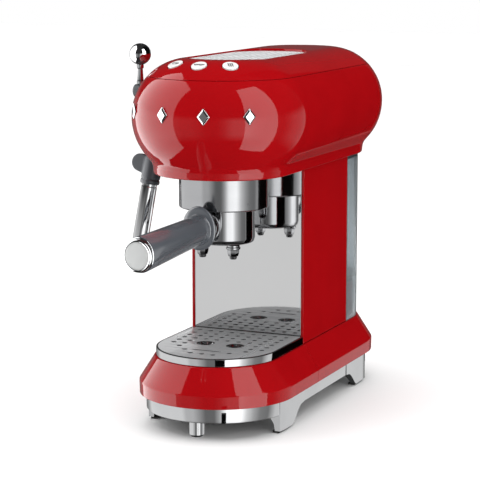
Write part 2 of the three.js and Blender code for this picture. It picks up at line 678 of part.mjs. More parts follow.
function topCover() {
  const ceiling = headTop - HEAD.ceilingDepth;
  const hollow = headSolid(WALL).intersect(below(ceiling));
  let cover = headSolid(0).subtract(hollow).intersect(above(headSeam + GAP / 2));
  const skirtR = headRadiusAt(headSeam) - WALL - HEAD.skirtWall;
  const skirtTop = headSeam + HEAD.skirtDepth;
  const low = headSeam - HEAD.skirtDepth;
  const ring = swept([
    [skirtR - HEAD.skirtWall, low], [skirtR, low], [skirtR, skirtTop], [skirtR - HEAD.skirtWall, skirtTop],
  ], headFront, headRear);
  cover = cover.add(ring.intersect(headSolid(0.5)));
  const plateLow = headTop - WARMER.setBack - WARMER.thickness - GAP;
  const r = warmerRadius + GAP;
  const well = prism(stadium(r, warmerFront, warmerRear), plateLow, headTop + 5);
  cover = cover.subtract(well);
  for (const [, angle] of BUTTONS) cover = cover.subtract(buttonSolid(angle, BUTTON.radius + 2 * GAP, 12, 5));
  return piece('top_cover', cover, RED());
}

function cupWarmerPlate() {
  const holes = [];
  const margin = warmerRadius - WARMER.holeRadius - 2;
  const middle = (warmerFront + warmerRear) / 2;
  const rows = Math.floor(((warmerRear - warmerFront) / 2 + margin) / WARMER.pitch);
  for (let row = -rows; row <= rows; row++) {
    for (let i = -2; i <= 2; i++) {
      const x = i * WARMER.pitch;
      const y = middle + row * WARMER.pitch;
      const end = Math.max(0, warmerFront - y, y - warmerRear);
      if (Math.hypot(x, end) < margin) holes.push(circle(WARMER.holeRadius, 6, x, y));
    }
  }
  const top = headTop - WARMER.setBack;
  const plate = prism(stadium(warmerRadius, warmerFront, warmerRear), top - WARMER.thickness, top, holes);
  return piece('cup_warmer_plate', plate, STEEL());
}

function buttons() {
  return BUTTONS.map(([name, angle]) =>
    piece(name, buttonSolid(angle, BUTTON.radius, BUTTON.length - BUTTON.proud, BUTTON.proud), WHITE()));
}

// ---------------------------------------------------------------- group

function groupCollar() {
  const r = collarRadius;
  const lipTop = groupBottom + GROUP.lipHeight;
  const top = headBottom + GROUP.above;
  const ring = turned([
    [collarLip, groupBottom], [r - 0.8, groupBottom], [r, groupBottom + 0.8], [r, top],
    [GROUP.screwHole, top], [GROUP.screwHole, groupCeiling], [collarBore, groupCeiling], [collarBore, lipTop],
    [collarLip, lipTop],
  ], 0, groupY, 24);
  const across = 2 * collarBore;
  const width = (GROUP.entryWidth * Math.PI * collarLip) / 180;
  const entry = new THREE.BoxGeometry(across, width, GROUP.lipHeight + 2);
  entry.rotateZ((GROUP.entryAngle * Math.PI) / 180);
  const cut = placed(entry, 0, groupY, groupBottom + GROUP.lipHeight / 2);
  return piece('group_collar', ring.subtract(cut), STEEL());
}

function groupGasket() {
  const low = rimTop + GAP;
  const high = groupCeiling - GAP;
  const inner = basketRadius + 3;
  const outer = collarBore - GAP;
  const profile = [[inner, low], [outer, low], [outer, high], [inner, high]];
  return piece('group_gasket', turned(profile, 0, groupY), BLACK());
}

function shower() {
  const r = basketRadius - BASKET.wall - 1;
  const low = rimTop - 2;
  const high = groupCeiling - GAP;
  const bore = GROUP.screwHole;
  const screen = turned([
    [bore, low], [r, low], [r, high], [r - 1.5, high], [r - 1.5, low + 1.5], [bore, low + 1.5],
  ], 0, groupY);
  const shaft = bore - GAP;
  const headLow = low - GAP - 2;
  const screw = turned([
    [0, headLow], [5, headLow], [5, headLow + 2], [shaft, headLow + 2],
    [shaft, groupCeiling + 4], [0, groupCeiling + 4],
  ], 0, groupY, 12);
  return [piece('shower_screen', screen, STEEL()), piece('shower_screw', screw, STEEL())];
}

// ---------------------------------------------------------------- filter holder

function holderBody() {
  const { radius: r, corner: c } = HOLDER;
  const low = holderBottom;
  const floor = low + HOLDER.floor;
  const top = rimTop - 0.8;
  const neck = groupBottom - GAP;
  const bowl = turned([
    [0, low], [r - c, low], [r - 0.3 * c, low + 0.3 * c], [r, low + c], [r, neck], [rimRadius, neck + 3],
    [rimRadius, top], [holderBore, top], [holderBore, floor], [0, floor],
  ], 0, groupY);
  const lugLow = groupBottom + GROUP.lipHeight + 0.7;
  const lugHigh = lugLow + HOLDER.lugHeight;
  const lugs = turned([
    [holderBore + 1, lugLow], [lugRadius, lugLow], [lugRadius, lugHigh], [holderBore + 1, lugHigh],
  ], 0, groupY);
  const half = HOLDER.lugHalfWidth;
  const lugBand = block(-60, 60, groupY - half, groupY + half, groupBottom, groupBottom + 20);
  let body = bowl.add(lugs.intersect(lugBand));
  for (const side of [-1, 1]) {
    const start = [side * SPOUT.x, spoutY, low - 1];
    body = body.subtract(rod('z', SPOUT.bore, start, HOLDER.floor + 2, SPOUT.bore, 8));
  }
  return piece('portafilter_body', body, CHROME());
}

function filterBasket() {
  const r = basketRadius;
  const { wall, depth } = BASKET;
  const flange = rimRadius - BASKET.rimInset;
  const top = rimTop - GAP;
  const low = top - depth;
  const basket = turned([
    [0, low], [r - 2, low], [r, low + 3], [r, top - 0.2], [flange, top - 0.2], [flange, top + GAP - 0.1],
    [r - wall, top + GAP - 0.1], [r - wall, low + 3], [r - 2 - wall, low + wall], [0, low + wall],
  ], 0, groupY);
  return piece('filter_basket', basket, STEEL());
}

function spouts() {
  const parts = [];
  const { radius: r, mouth, bore, height, tipRadius, tipHeight } = SPOUT;
  const top = holderBottom - GAP;
  const low = top - height;
  for (const [hand, side] of [['left', -1], ['right', 1]]) {
    const spout = turned([
      [bore, top], [r - 1, top], [r - 1, top - 1.8], [r, top - 2.4], [r, top - 5], [mouth, low], [bore, low],
    ], side * SPOUT.x, spoutY, 16);
    const tip = turned([
      [bore - 0.8, low - GAP], [tipRadius, low - GAP],
      [tipRadius - 0.5, low - tipHeight], [bore - 0.8, low - tipHeight],
    ], side * SPOUT.x, spoutY, 12);
    parts.push(piece(`spout_${hand}`, spout, CHROME()));
    parts.push(piece(`spout_tip_${hand}`, tip, BLACK()));
  }
  return parts;
}

// Upright oval ring across the handle, at a distance along it.
function oval(along, halfWidth, up, down, steps = 16) {
  return Array.from({ length: steps }, (_, i) => {
    const angle = (2 * Math.PI * i) / steps;
    const reach = Math.sin(angle) > 0 ? up : down;
    return new THREE.Vector3(halfWidth * Math.cos(angle), -along, reach * Math.sin(angle));
  });
}

// Neck, thumb guard, grip and end cap, drawn along the handle's own axis from the bowl outwards.
function handle() {
  const h = HANDLE;
  const axisZ = groupBottom + h.height;
  const group = new THREE.Group();
  group.position.set(0, groupY, axisZ);
  group.rotation.x = (h.tilt * Math.PI) / 180;
  const start = HOLDER.radius - 4;
  const guard = guardStart;
  const neckRing = (along, radius) => oval(along, radius, radius, radius);
  const neck = loft([
    neckRing(start, h.waistRadius), neckRing(guard - 20, h.waistRadius),
    neckRing(guard - 17, h.waistRadius + 1.5),
    neckRing(guard - 8, h.neckRadius), neckRing(guard, h.neckRadius),
  ]);
  const bowl = turned([[0, -40], [HOLDER.radius + GAP + 0.5, -40], [HOLDER.radius + GAP + 0.5, 40], [0, 40]]);
  const guardFront = guard + GAP;
  const grip = loft([
    oval(guardFront, h.guardHalfWidth, h.guardAbove, h.guardBelow, 20),
    oval(guardFront + h.guardThickness, h.guardHalfWidth, h.guardAbove, h.guardBelow, 20),
    oval(guardFront + h.guardThickness + 0.5, h.rootHalf * h.slim, h.rootHalf, h.rootHalf, 20),
    oval(h.length + HOLDER.radius - h.groove, h.endHalf * h.slim, h.endHalf, h.endHalf, 20),
  ]);
  const capStart = h.length + HOLDER.radius - h.groove + GAP;
  const cap = loft([
    oval(capStart, h.capHalf * h.slim - 1, h.capHalf - 1, h.capHalf - 1),
    oval(capStart + h.groove, h.capHalf * h.slim, h.capHalf, h.capHalf),
    oval(capStart + h.groove + h.capThickness - 0.8, h.capHalf * h.slim, h.capHalf, h.capHalf),
    oval(capStart + h.groove + h.capThickness, h.capHalf * h.slim - 0.8, h.capHalf - 0.8, h.capHalf - 0.8),
  ]);
  group.add(piece('handle_ferrule', neck.subtract(bowl), CHROME()));
  group.add(piece('handle_grip', grip, GREY()));
  group.add(piece('handle_cap', cap, CHROME()));
  return group;
}

// ---------------------------------------------------------------- steam lever and wand

function steamLever() {
  const z = leverZ;
  const shellX = headRadiusAt(z);
  const hubStart = leverX - LEVER.hubWidth / 2;
  const knuckle = rod('x', LEVER.hubRadius, [hubStart, leverY, z], LEVER.hubWidth);
  const shaft = rod('x', LEVER.shaftRadius, [leverX, leverY, z], leverShaftEnd - leverX);
  const boss = rod('x', LEVER.hubRadius - 1, [-shellX - 6, leverY, z], 5, LEVER.hubRadius - 1);
  const hub = knuckle.add(shaft).add(boss.intersect(block(-FAR, -shellX - 2.5, -FAR, FAR, -FAR, FAR)));
  const stemStart = LEVER.hubRadius + GAP;
  const stemLength = LEVER.reach - LEVER.ballRadius - GAP - stemStart;
  const stemFoot = [leverX, leverY, z + stemStart];
  const stem = rod('z', LEVER.stemRadius + 0.4, stemFoot, stemLength, LEVER.stemRadius);
  const ball = placed(new THREE.SphereGeometry(LEVER.ballRadius, 16, 8), leverX, leverY, z + LEVER.reach);
  return [
    piece('lever_hub', hub, CHROME()),
    piece('lever_stem', stem, CHROME()),
    piece('lever_ball', ball, CHROME()),
  ];
}

function steamSocket() {
  const start = wandX + WAND.ballRadius + GAP;
  const pin = rod('x', WAND.socketRadius, [start, wandY, wandZ], socketEnd - start);
  return piece('steam_socket', pin, CHROME());
}

// Ball, grip with its thumb tab, tube and nozzle; the wand leans out and towards the user.
function steamWand() {
  const group = new THREE.Group();
  group.position.set(wandX, wandY, wandZ);
  const ball = piece('wand_ball', solid(new THREE.SphereGeometry(WAND.ballRadius, 12, 8)), CHROME());
  group.add(ball);
  const leaning = new THREE.Group();
  const [outward, forward] = [WAND.leanOut, WAND.leanFront].map((angle) => Math.tan((angle * Math.PI) / 180));
  const lean = new THREE.Vector3(-outward, -forward, -1);
  leaning.quaternion.setFromUnitVectors(new THREE.Vector3(0, 0, -1), lean.normalize());
  const r = WAND.gripRadius;
  const inner = WAND.ballRadius + 0.8;
  const dome = turned([
    [0, r * 0.92], [r * 0.45, r * 0.82], [r * 0.8, r * 0.45], [r * 0.93, 0], [r, -WAND.gripDrop + 3],
    [r, -WAND.gripDrop], [0, -WAND.gripDrop],
  ], 0, 0, 16);
  const cavity = turned([
    [0, inner], [inner * 0.7, inner * 0.7], [inner, 0], [inner, -inner], [0, -inner],
  ], 0, 0, 12);
  const mouth = block(0, 2 * r, -WAND.mouth, WAND.mouth, -inner, WAND.mouth + 1);
  const tab = tabSolid();
  const grip = dome.add(tab).subtract(cavity).subtract(mouth);
  leaning.add(piece('wand_grip', grip, GREY()));
  const tubeTop = -WAND.gripDrop - GAP;
  const tubeR = WAND.tubeRadius;
  const tubeLow = tubeTop - WAND.tubeLength;
  const tube = turned([
    [0, tubeTop], [tubeR - 0.5, tubeTop], [tubeR, tubeLow + 2], [tubeR - 1, tubeLow], [0, tubeLow],
  ], 0, 0, 20);
  const tipTop = tubeLow - GAP;
  const tipLow = tipTop - WAND.nozzleLength;
  const nozzle = turned([
    [0, tipTop], [WAND.nozzleRadius, tipTop], [WAND.nozzleRadius, tipLow + 3],
    [WAND.nozzleRadius - 2, tipLow], [0, tipLow],
  ], 0, 0, 16);
  leaning.add(piece('wand_tube', tube, CHROME()));
  leaning.add(piece('wand_nozzle', nozzle, CHROME()));
  group.add(leaning);
  return group;
}

// Round-ended thumb tab that rises outwards from the grip.
function tabSolid() {
  const half = WAND.tabWidth / 2;
  const points = [new THREE.Vector2(-half, 0), new THREE.Vector2(half, 0)];
  for (let i = 0; i <= 8; i++) {
    const angle = (Math.PI * i) / 8;
    points.push(new THREE.Vector2(half * Math.cos(angle), WAND.tabLength - half + half * Math.sin(angle)));
  }
  const shape = new THREE.Shape(points);
  const geometry = new THREE.ExtrudeGeometry(shape, { depth: WAND.tabThickness, bevelEnabled: false });
  geometry.translate(0, 0, -WAND.tabThickness / 2);
  geometry.rotateX(Math.PI / 2);
  geometry.rotateY((-WAND.tabTilt * Math.PI) / 180);
  return placed(geometry, -WAND.ballRadius * 0.6, 0, -WAND.tabDrop);
}

// ---------------------------------------------------------------- inside

function heater() {
  const h = HEATER;
  const low = headBottom + h.low;
  const high = headBottom + h.high;
  const footZ = headBottom + GROUP.above + GAP;
  const foot = rod('z', h.footRadius, [0, heaterFront + h.footRadius + 1, footZ], low - footZ + 1);
  const body = block(-h.halfWidth, h.halfWidth, heaterFront, heaterRear, low, high);
  return piece('thermoblock', body.add(foot), ALUMINIUM());
}

function steamValve() {
  const start = leverShaftEnd + GAP;
  const length = -HEATER.halfWidth - GAP - start;
  return piece('steam_valve', rod('x', LEVER.valveRadius, [start, leverY, leverZ], length), BRASS());
}

function pumpPieces() {
  const low = baseTop + GAP;
  const bottom = low + PUMP.mountHeight + GAP;
  const r = PUMP.radius;
  const top = bottom + PUMP.length;
  const pump = turned([
    [0, bottom], [r * 0.7, bottom], [r, bottom + 6], [r, top - 16],
    [r * 0.5, top - 12], [r * 0.3, top], [0, top],
  ], PUMP.x, pumpY);
  const mount = block(PUMP.x - r, PUMP.x + r, pumpY - 0.8 * r, pumpY + 0.8 * r, low, bottom - GAP);
  const board = block(
    BOARD.x, BOARD.x + BOARD.thickness, columnMiddle - BOARD.halfWidth, columnMiddle + BOARD.halfWidth,
    baseTop + BOARD.low, baseTop + BOARD.high,
  );
  return [
    piece('pump', pump, ALUMINIUM()),
    piece('pump_mount', mount, BLACK()),
    piece('control_board', board, BOARD_GREEN()),
  ];
}

function buttonBoard() {
  const z = headSeam - BUTTON_BOARD.below;
  const front = headFront - buttonReach + 1;
  const board = block(-BUTTON_BOARD.halfWidth, BUTTON_BOARD.halfWidth, front, front + BUTTON_BOARD.depth,
    z - BOARD.thickness, z);
  return piece('button_board', board, BOARD_GREEN());
}

function hoses() {
  const bottom = baseTop + 2 * GAP + PUMP.mountHeight;
  const pumpTop = bottom + PUMP.length + GAP;
  const portY = columnRear + TANK.wall + GAP - VALVE.length + VALVE.bodyLength - GAP;
  const inletY = pumpY + PUMP.radius + GAP;
  const inletZ = bottom + PUMP.inlet;
  const suction = hose([
    [0, portY, valveZ], [0, portY - 8, valveZ], [PUMP.x - 4, inletY + 10, inletZ + 6],
    [PUMP.x, inletY + 5, inletZ], [PUMP.x, inletY, inletZ],
  ], HOSE_RADIUS);
  const heaterZ = headBottom + HEATER.low + HEATER.inlet;
  const pressure = hose([
    [PUMP.x, pumpY, pumpTop], [PUMP.x, pumpY, pumpTop + 10], [PUMP.x - 4, pumpY, headBottom - 10],
    [4, pumpY - 2, headBottom + 14], [0, heaterRear + 12, heaterZ], [0, heaterRear + GAP, heaterZ],
  ], HOSE_RADIUS);
  const valveX = leverShaftEnd + 8;
  const valveLow = leverZ - LEVER.valveRadius - GAP;
  const socketX = socketEnd + GAP;
  const steam = hose([
    [valveX, leverY, valveLow], [valveX, leverY, valveLow - 12], [valveX + 6, wandY + 6, wandZ + 22],
    [socketX + 9, wandY, wandZ + 5], [socketX + 4, wandY, wandZ], [socketX, wandY, wandZ],
  ], PIPE_RADIUS);
  return [
    piece('suction_hose', suction, HOSE()),
    piece('pressure_hose', pressure, HOSE()),
    piece('steam_pipe', steam, STEEL()),
  ];
}

// ---------------------------------------------------------------- assembly

const machine = new THREE.Group();
machine.add(
  plinthFrame(), ...legPads(), basePlate(), frontFoot(), ...baseCovers(), cableGland(),
  dripPan(), dripGrate(),
  columnCover(), splashPanel(), rearWall(), ...powerSwitch(),
  ...waterTank(), ...tankDock(),
  headShell(), headFloorPlate(), topCover(), cupWarmerPlate(), ...buttons(),
  groupCollar(), groupGasket(), ...shower(),
  holderBody(), filterBasket(), ...spouts(), handle(),
  ...steamLever(), steamSocket(), steamWand(),
  heater(), steamValve(), ...pumpPieces(), buttonBoard(), ...hoses(),
);

// The origin is the middle of the whole object's footprint, on the surface it stands on.
const leftReach = leverX - LEVER.ballRadius;
const frontReach = groupY - HOLDER.radius - HANDLE.length - HANDLE.capThickness - GAP;
const rearReach = headRear + headRadius;
machine.position.set(-(leftReach + headRadius) / 2, -(frontReach + rearReach) / 2, 0);

const espressoMachine = new THREE.Group();
espressoMachine.add(machine);

export default espressoMachine;
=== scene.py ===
import json
import math
from math import radians

import bmesh
import bpy
from mathutils import Matrix, Vector

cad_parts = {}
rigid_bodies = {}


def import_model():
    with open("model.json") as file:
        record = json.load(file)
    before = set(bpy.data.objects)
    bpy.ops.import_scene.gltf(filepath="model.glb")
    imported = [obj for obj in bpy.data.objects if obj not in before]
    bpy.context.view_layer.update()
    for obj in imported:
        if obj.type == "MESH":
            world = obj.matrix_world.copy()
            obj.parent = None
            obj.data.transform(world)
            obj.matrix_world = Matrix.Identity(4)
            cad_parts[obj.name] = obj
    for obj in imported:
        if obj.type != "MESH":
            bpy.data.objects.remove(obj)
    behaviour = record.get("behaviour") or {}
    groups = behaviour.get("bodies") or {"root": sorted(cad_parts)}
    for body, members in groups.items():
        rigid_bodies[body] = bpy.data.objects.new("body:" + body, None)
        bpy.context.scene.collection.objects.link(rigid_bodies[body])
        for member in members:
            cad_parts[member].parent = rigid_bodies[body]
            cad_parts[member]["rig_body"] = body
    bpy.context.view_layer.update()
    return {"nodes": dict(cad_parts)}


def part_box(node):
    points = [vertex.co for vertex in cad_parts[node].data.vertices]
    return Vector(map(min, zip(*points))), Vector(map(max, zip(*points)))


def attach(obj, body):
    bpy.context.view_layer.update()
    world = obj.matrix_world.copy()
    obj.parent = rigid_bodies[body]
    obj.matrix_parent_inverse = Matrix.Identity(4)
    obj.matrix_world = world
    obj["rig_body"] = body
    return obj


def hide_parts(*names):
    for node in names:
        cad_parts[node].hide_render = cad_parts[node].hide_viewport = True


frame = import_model()
scene = bpy.context.scene

# ---- places, from the CAD boxes
# Shapes are drawn in millimetres in the machine's own frame: X across, -Y to the front, the base's
# middle on Y 0. ORIGIN moves them to the row frame.

END = 44  # steps round a half-round end
MM = 1000  # millimetres in a metre


def raw(node):
    low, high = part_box(node)
    return [v * MM for v in low], [v * MM for v in high]


front_low, front_high = raw("base_front_cover")
rear_high = raw("base_rear_cover")[1]
edge_r = (front_high[0] - front_low[0]) / 2
ORIGIN = Vector((
    (front_low[0] + front_high[0]) / 2,
    (front_low[1] + edge_r + rear_high[1] - edge_r) / 2,
    0,
))


def box(node):
    low, high = raw(node)
    return Vector(low) - ORIGIN, Vector(high) - ORIGIN


base_low, base_high = box("base_front_cover")
rear_base_high = box("base_rear_cover")[1]
head_low, head_high = box("head_shell")
top_high = box("top_cover")[1]
plinth_low, plinth_high = box("plinth_frame")
foot_low, foot_high = box("front_foot")
pan_low, pan_high = box("drip_pan")
grate_low, grate_high = box("drip_grate")
column_high = box("column_cover")[1]
tank_low, tank_high = box("tank_body")
lid_low, lid_high = box("tank_lid")
dock_low, dock_high = box("tank_dock")
seal_low, seal_high = box("tank_dock_seal")
plate_low, plate_high = box("cup_warmer_plate")
collar_low, collar_high = box("group_collar")
screw_low, screw_high = box("shower_screw")
holder_low, holder_high = box("portafilter_body")
spout_low, spout_high = box("spout_right")
tip_low, tip_high = box("spout_tip_right")
ball_low, ball_high = box("lever_ball")
stem_low, stem_high = box("lever_stem")
hub_low, hub_high = box("lever_hub")
socket_low, socket_high = box("wand_ball")
gland_low, gland_high = box("cable_gland")

spine_front = base_low.y + edge_r
spine_rear = rear_base_high.y - edge_r
base_bottom, base_top = base_low.z, base_high.z
base_edge = base_bottom + 10.7  # the ridge where the skirt turns up
column_half = column_high.x
top_r = column_half + 1.1
skirt_r = edge_r - 0.3
plinth_r = plinth_high.x
head_r = head_high.x
head_front = head_low.y + head_r
head_rear = head_high.y - head_r
head_bottom = head_low.z
head_top = top_high.z
seam = head_high.z + 0.15
upper_arc, lower_arc = 47.5, 50.0  # radii of the head's side above and below its middle
head_middle = head_top - upper_arc
lip_r = column_half + 5.3
group_y = (screw_low.y + screw_high.y) / 2
collar_r = collar_high.x
holder_r = 25.7
holder_bottom = holder_low.z
group_bottom = collar_low.z
spout_x = (spout_low.x + spout_high.x) / 2
spout_y = (spout_low.y + spout_high.y) / 2

# ---- materials

MIX_A, MIX_B, MIX_RESULT = 6, 7, 2  # the colour sockets of a Mix node


def node(tree, kind, **values):
    made = tree.nodes.new(kind)
    for key, value in values.items():
        setattr(made, key, value)
    return made


def shader(name, color, roughness, metallic=0.0, specular=0.5, coat=0.0, transmission=0.0, ior=1.5):
    material = bpy.data.materials.new(name)
    material.use_nodes = True
    bsdf = material.node_tree.nodes["Principled BSDF"]
    bsdf.inputs["Base Color"].default_value = (*color, 1)
    bsdf.inputs["Roughness"].default_value = roughness
    bsdf.inputs["Metallic"].default_value = metallic
    bsdf.inputs["Specular IOR Level"].default_value = specular
    bsdf.inputs["Coat Weight"].default_value = coat
    bsdf.inputs["Coat Roughness"].default_value = 0.04
    bsdf.inputs["Transmission Weight"].default_value = transmission
    bsdf.inputs["IOR"].default_value = ior
    material.diffuse_color = (*color, 1)
    return material, bsdf


def coords(tree, scale):
    place = node(tree, "ShaderNodeTexCoord")
    mapping = node(tree, "ShaderNodeMapping")
    mapping.inputs["Scale"].default_value = scale if isinstance(scale, tuple) else (scale,) * 3
    tree.links.new(place.outputs["Object"], mapping.inputs["Vector"])
    return mapping.outputs["Vector"]


def noise(tree, scale, detail=3.0):
    made = node(tree, "ShaderNodeTexNoise")
    made.inputs["Scale"].default_value = 1.0
    made.inputs["Detail"].default_value = detail
    tree.links.new(coords(tree, scale), made.inputs["Vector"])
    return made.outputs["Fac"]


def ranged(tree, source, low, high, from_low=0.3, from_high=0.7):
    made = node(tree, "ShaderNodeMapRange")
    made.inputs["From Min"].default_value = from_low
    made.inputs["From Max"].default_value = from_high
    made.inputs["To Min"].default_value = low
    made.inputs["To Max"].default_value = high
    tree.links.new(source, made.inputs["Value"])
    return made.outputs["Result"]


def blended(tree, factor, first, second):
    """A mix of two colours, each a tuple or another node's socket."""
    made = node(tree, "ShaderNodeMix", data_type="RGBA")
    for socket, color in ((MIX_A, first), (MIX_B, second)):
        if isinstance(color, tuple):
            made.inputs[socket].default_value = (*color, 1)
        else:
            tree.links.new(color, made.inputs[socket])
    tree.links.new(factor, made.inputs["Factor"])
    return made.outputs[MIX_RESULT]


def relief(tree, bsdf, heights, strength, depth):
    total = heights[0]
    for extra in heights[1:]:
        added = node(tree, "ShaderNodeMath", operation="ADD")
        tree.links.new(total, added.inputs[0])
        tree.links.new(extra, added.inputs[1])
        total = added.outputs["Value"]
    bump = node(tree, "ShaderNodeBump")
    bump.inputs["Strength"].default_value = strength
    bump.inputs["Distance"].default_value = depth
    tree.links.new(total, bump.inputs["Height"])
    tree.links.new(bump.outputs["Normal"], bsdf.inputs["Normal"])


def surface(name, color, second, roughness, grain, depth, strength=0.3, smudge=25, spread=0.3, **kind):
    """A material whose colour, roughness and relief all vary.

    grain is how fine its relief is and smudge how fine its colour is, as one number or as three;
    depth is the relief's height in metres and spread the part by which the roughness varies.
    """
    material, bsdf = shader(name, color, roughness, **kind)
    tree = material.node_tree
    broad = noise(tree, smudge, 4)
    fine = noise(tree, grain, 2)
    tree.links.new(blended(tree, ranged(tree, broad, 0, 1), color, second), bsdf.inputs["Base Color"])
    rough = ranged(tree, broad, roughness * (1 - spread), roughness * (1 + spread))
    tree.links.new(rough, bsdf.inputs["Roughness"])
    relief(tree, bsdf, [fine], strength, depth)
    return material


RED = surface("red_enamel", (0.296, 0.0026, 0.0044), (0.272, 0.0022, 0.0038), 0.045, 420, 0.00003,
              strength=0.1, specular=0.22)
CHROME, GROUP_CHROME, DARK_CHROME = (
    surface(name, color, second, roughness, 300, 0.00001, strength=0.1, metallic=1.0)
    for name, color, second, roughness in (
        ("polished_chrome", (0.66, 0.665, 0.67), (0.6, 0.605, 0.615), 0.045),
        ("group_chrome", (0.5, 0.505, 0.515), (0.45, 0.455, 0.465), 0.05),
        ("dark_chrome", (0.5, 0.505, 0.515), (0.42, 0.425, 0.435), 0.08),
    )
)
MIRROR = surface("mirror_steel", (0.84, 0.842, 0.845), (0.82, 0.822, 0.826), 0.035, (30, 2500, 900), 0.00001,
                 strength=0.08, smudge=14, metallic=1.0)
RING_BRUSHED = surface("ring_brushed_steel", (0.48, 0.485, 0.495), (0.46, 0.465, 0.475), 0.14,
                       (14, 14, 4200), 0.000008, strength=0.2, smudge=(30, 30, 160), spread=0.12,
                       metallic=1.0)
WARMER = surface("warmer_steel", (0.74, 0.75, 0.76), (0.68, 0.69, 0.7), 0.4, 900, 0.00001,
                 strength=0.15, metallic=0.3)
SHEET_BRUSHED = surface("sheet_brushed_steel", (0.46, 0.465, 0.475), (0.43, 0.435, 0.445), 0.34,
                        (3600, 26, 60), 0.000002, strength=0.05, smudge=(120, 12, 12), metallic=0.45)
GREY = surface("grey_plastic", (0.075, 0.082, 0.093), (0.066, 0.073, 0.084), 0.2, 1500, 0.00003,
               strength=0.2, specular=0.55, coat=0.5)
DARK_GREY = surface("dark_grey_plastic", (0.036, 0.04, 0.046), (0.03, 0.034, 0.04), 0.38, 1500,
                    0.00005, strength=0.4, specular=0.45)
BLACK = surface("black_plastic", (0.012, 0.012, 0.013), (0.018, 0.018, 0.019), 0.42, 1800,
                0.00005, strength=0.5, specular=0.4)
RUBBER = surface("black_rubber", (0.015, 0.015, 0.015), (0.025, 0.024, 0.023), 0.75, 900, 0.0001,
                 strength=0.6, specular=0.25)
WHITE = surface("button_white", (0.72, 0.72, 0.7), (0.68, 0.68, 0.67), 0.22, 1200, 0.00002,
                strength=0.2)
CAP = surface("satin_cap", (0.68, 0.69, 0.685), (0.63, 0.64, 0.635), 0.34, (2600, 2600, 26), 0.00002,
              strength=0.4, metallic=0.55)
CAST = surface("cast_aluminium", (0.42, 0.425, 0.43), (0.34, 0.345, 0.35), 0.5, 700, 0.0002,
               strength=0.6, metallic=0.9)
BRASS = surface("brass", (0.5, 0.34, 0.13), (0.42, 0.27, 0.1), 0.32, 900, 0.00004, metallic=1.0)
BOARD = surface("circuit_board", (0.012, 0.1, 0.045), (0.02, 0.15, 0.07), 0.4, 500, 0.00008)
HOSE = surface("silicone_hose", (0.68, 0.68, 0.64), (0.6, 0.6, 0.56), 0.45, 1100, 0.00004)
INK = surface("icon_grey", (0.05, 0.05, 0.055), (0.07, 0.07, 0.075), 0.4, 900, 0.00002)
CLEAR = surface("clear_tank", (0.6, 0.65, 0.67), (0.56, 0.61, 0.64), 0.1, 200, 0.00004,
                strength=0.2, transmission=0.85, ior=1.45)

# ---- shape helpers


def polar(radius, degrees):
    angle = radians(degrees)
    return radius * math.cos(angle), radius * math.sin(angle)


def arc(centre_r, centre_z, radius, start, stop, steps):
    points = []
    for i in range(steps + 1):
        dr, dz = polar(radius, start + (stop - start) * i / steps)
        points.append((centre_r + dr, centre_z + dz))
    return points


def eased(points, radius, steps, closed=False):
    """A polyline with each corner rounded; radius is one number or one for each point."""
    count = len(points)
    radii = radius if isinstance(radius, (list, tuple)) else [radius] * count
    result = []
    for i, here in enumerate(points):
        ends = not closed and i in (0, count - 1)
        if ends or radii[i] <= 0:
            result.append(tuple(here))
            continue
        p, a, b = Vector(here), Vector(points[i - 1]), Vector(points[(i + 1) % count])
        to_a, to_b = (a - p), (b - p)
        angle = to_a.angle(to_b) if to_a.length > 1e-6 and to_b.length > 1e-6 else math.pi
        if angle > math.pi - 0.02:
            result.append(tuple(here))
            continue
        reach = min(radii[i] / math.tan(angle / 2), to_a.length * 0.48, to_b.length * 0.48)
        start, stop = p + to_a.normalized() * reach, p + to_b.normalized() * reach
        for k in range(steps + 1):
            t = k / steps
            result.append(tuple(start * (1 - t) ** 2 + p * (2 * t * (1 - t)) + stop * t * t))
    return result


def half_round(r, centre, start):
    return [(dx, centre + dy) for dx, dy in (polar(r, start + 180 * i / END) for i in range(END + 1))]


def full_path(front, rear):
    """Outline with two half-round ends, as a function of its radius."""
    return lambda r: half_round(r, front, 180) + half_round(r, rear, 0)


def front_path(centre, end):
    return lambda r: [(-r, end)] + half_round(r, centre, 180) + [(r, end)]


def rear_path(centre, start):
    return lambda r: [(r, start)] + half_round(r, centre, 0) + [(-r, start)]


def inset_path(radius, centre, flat, side):
    """Closed outline with one half-round end and one flat end, drawn in by an inset."""
    def path(inset):
        r = radius - inset
        points = half_round(r, centre, 0 if side > 0 else 180)
        y = flat + side * inset
        corner = 1.2
        signs = (-1, 1) if side > 0 else (1, -1)
        points += [(signs[0] * r, y + side * corner), (signs[0] * (r - corner), y)]
        points += [(signs[1] * (r - corner), y), (signs[1] * r, y + side * corner)]
        return points
    return path


def rings_mesh(rings, wrap=True, loop=False, caps=False, side_caps=False):
    """Faces between rows of points: wrap joins each row's ends, loop the last row to the first."""
    made = bmesh.new()
    rows = [[made.verts.new(p) for p in ring] for ring in rings]
    count = len(rows[0])
    pairs = list(zip(rows, rows[1:]))
    if loop:
        pairs.append((rows[-1], rows[0]))
    for first, second in pairs:
        for i in range(count if wrap else count - 1):
            j = (i + 1) % count
            made.faces.new((first[i], first[j], second[j], second[i]))
    if caps:
        made.faces.new(rows[0])
        made.faces.new(rows[-1])
    if side_caps:
        made.faces.new([row[0] for row in rows])
        made.faces.new([row[-1] for row in rows])
    return made


def sweep(profile, path, wrap=True, loop=True, **ends):
    """A [radius, height] profile carried round a path, which gives the outline for a radius."""
    rings = [[(x, y, z) for x, y in path(r)] for r, z in profile]
    return rings_mesh(rings, wrap=wrap, loop=loop, **ends)


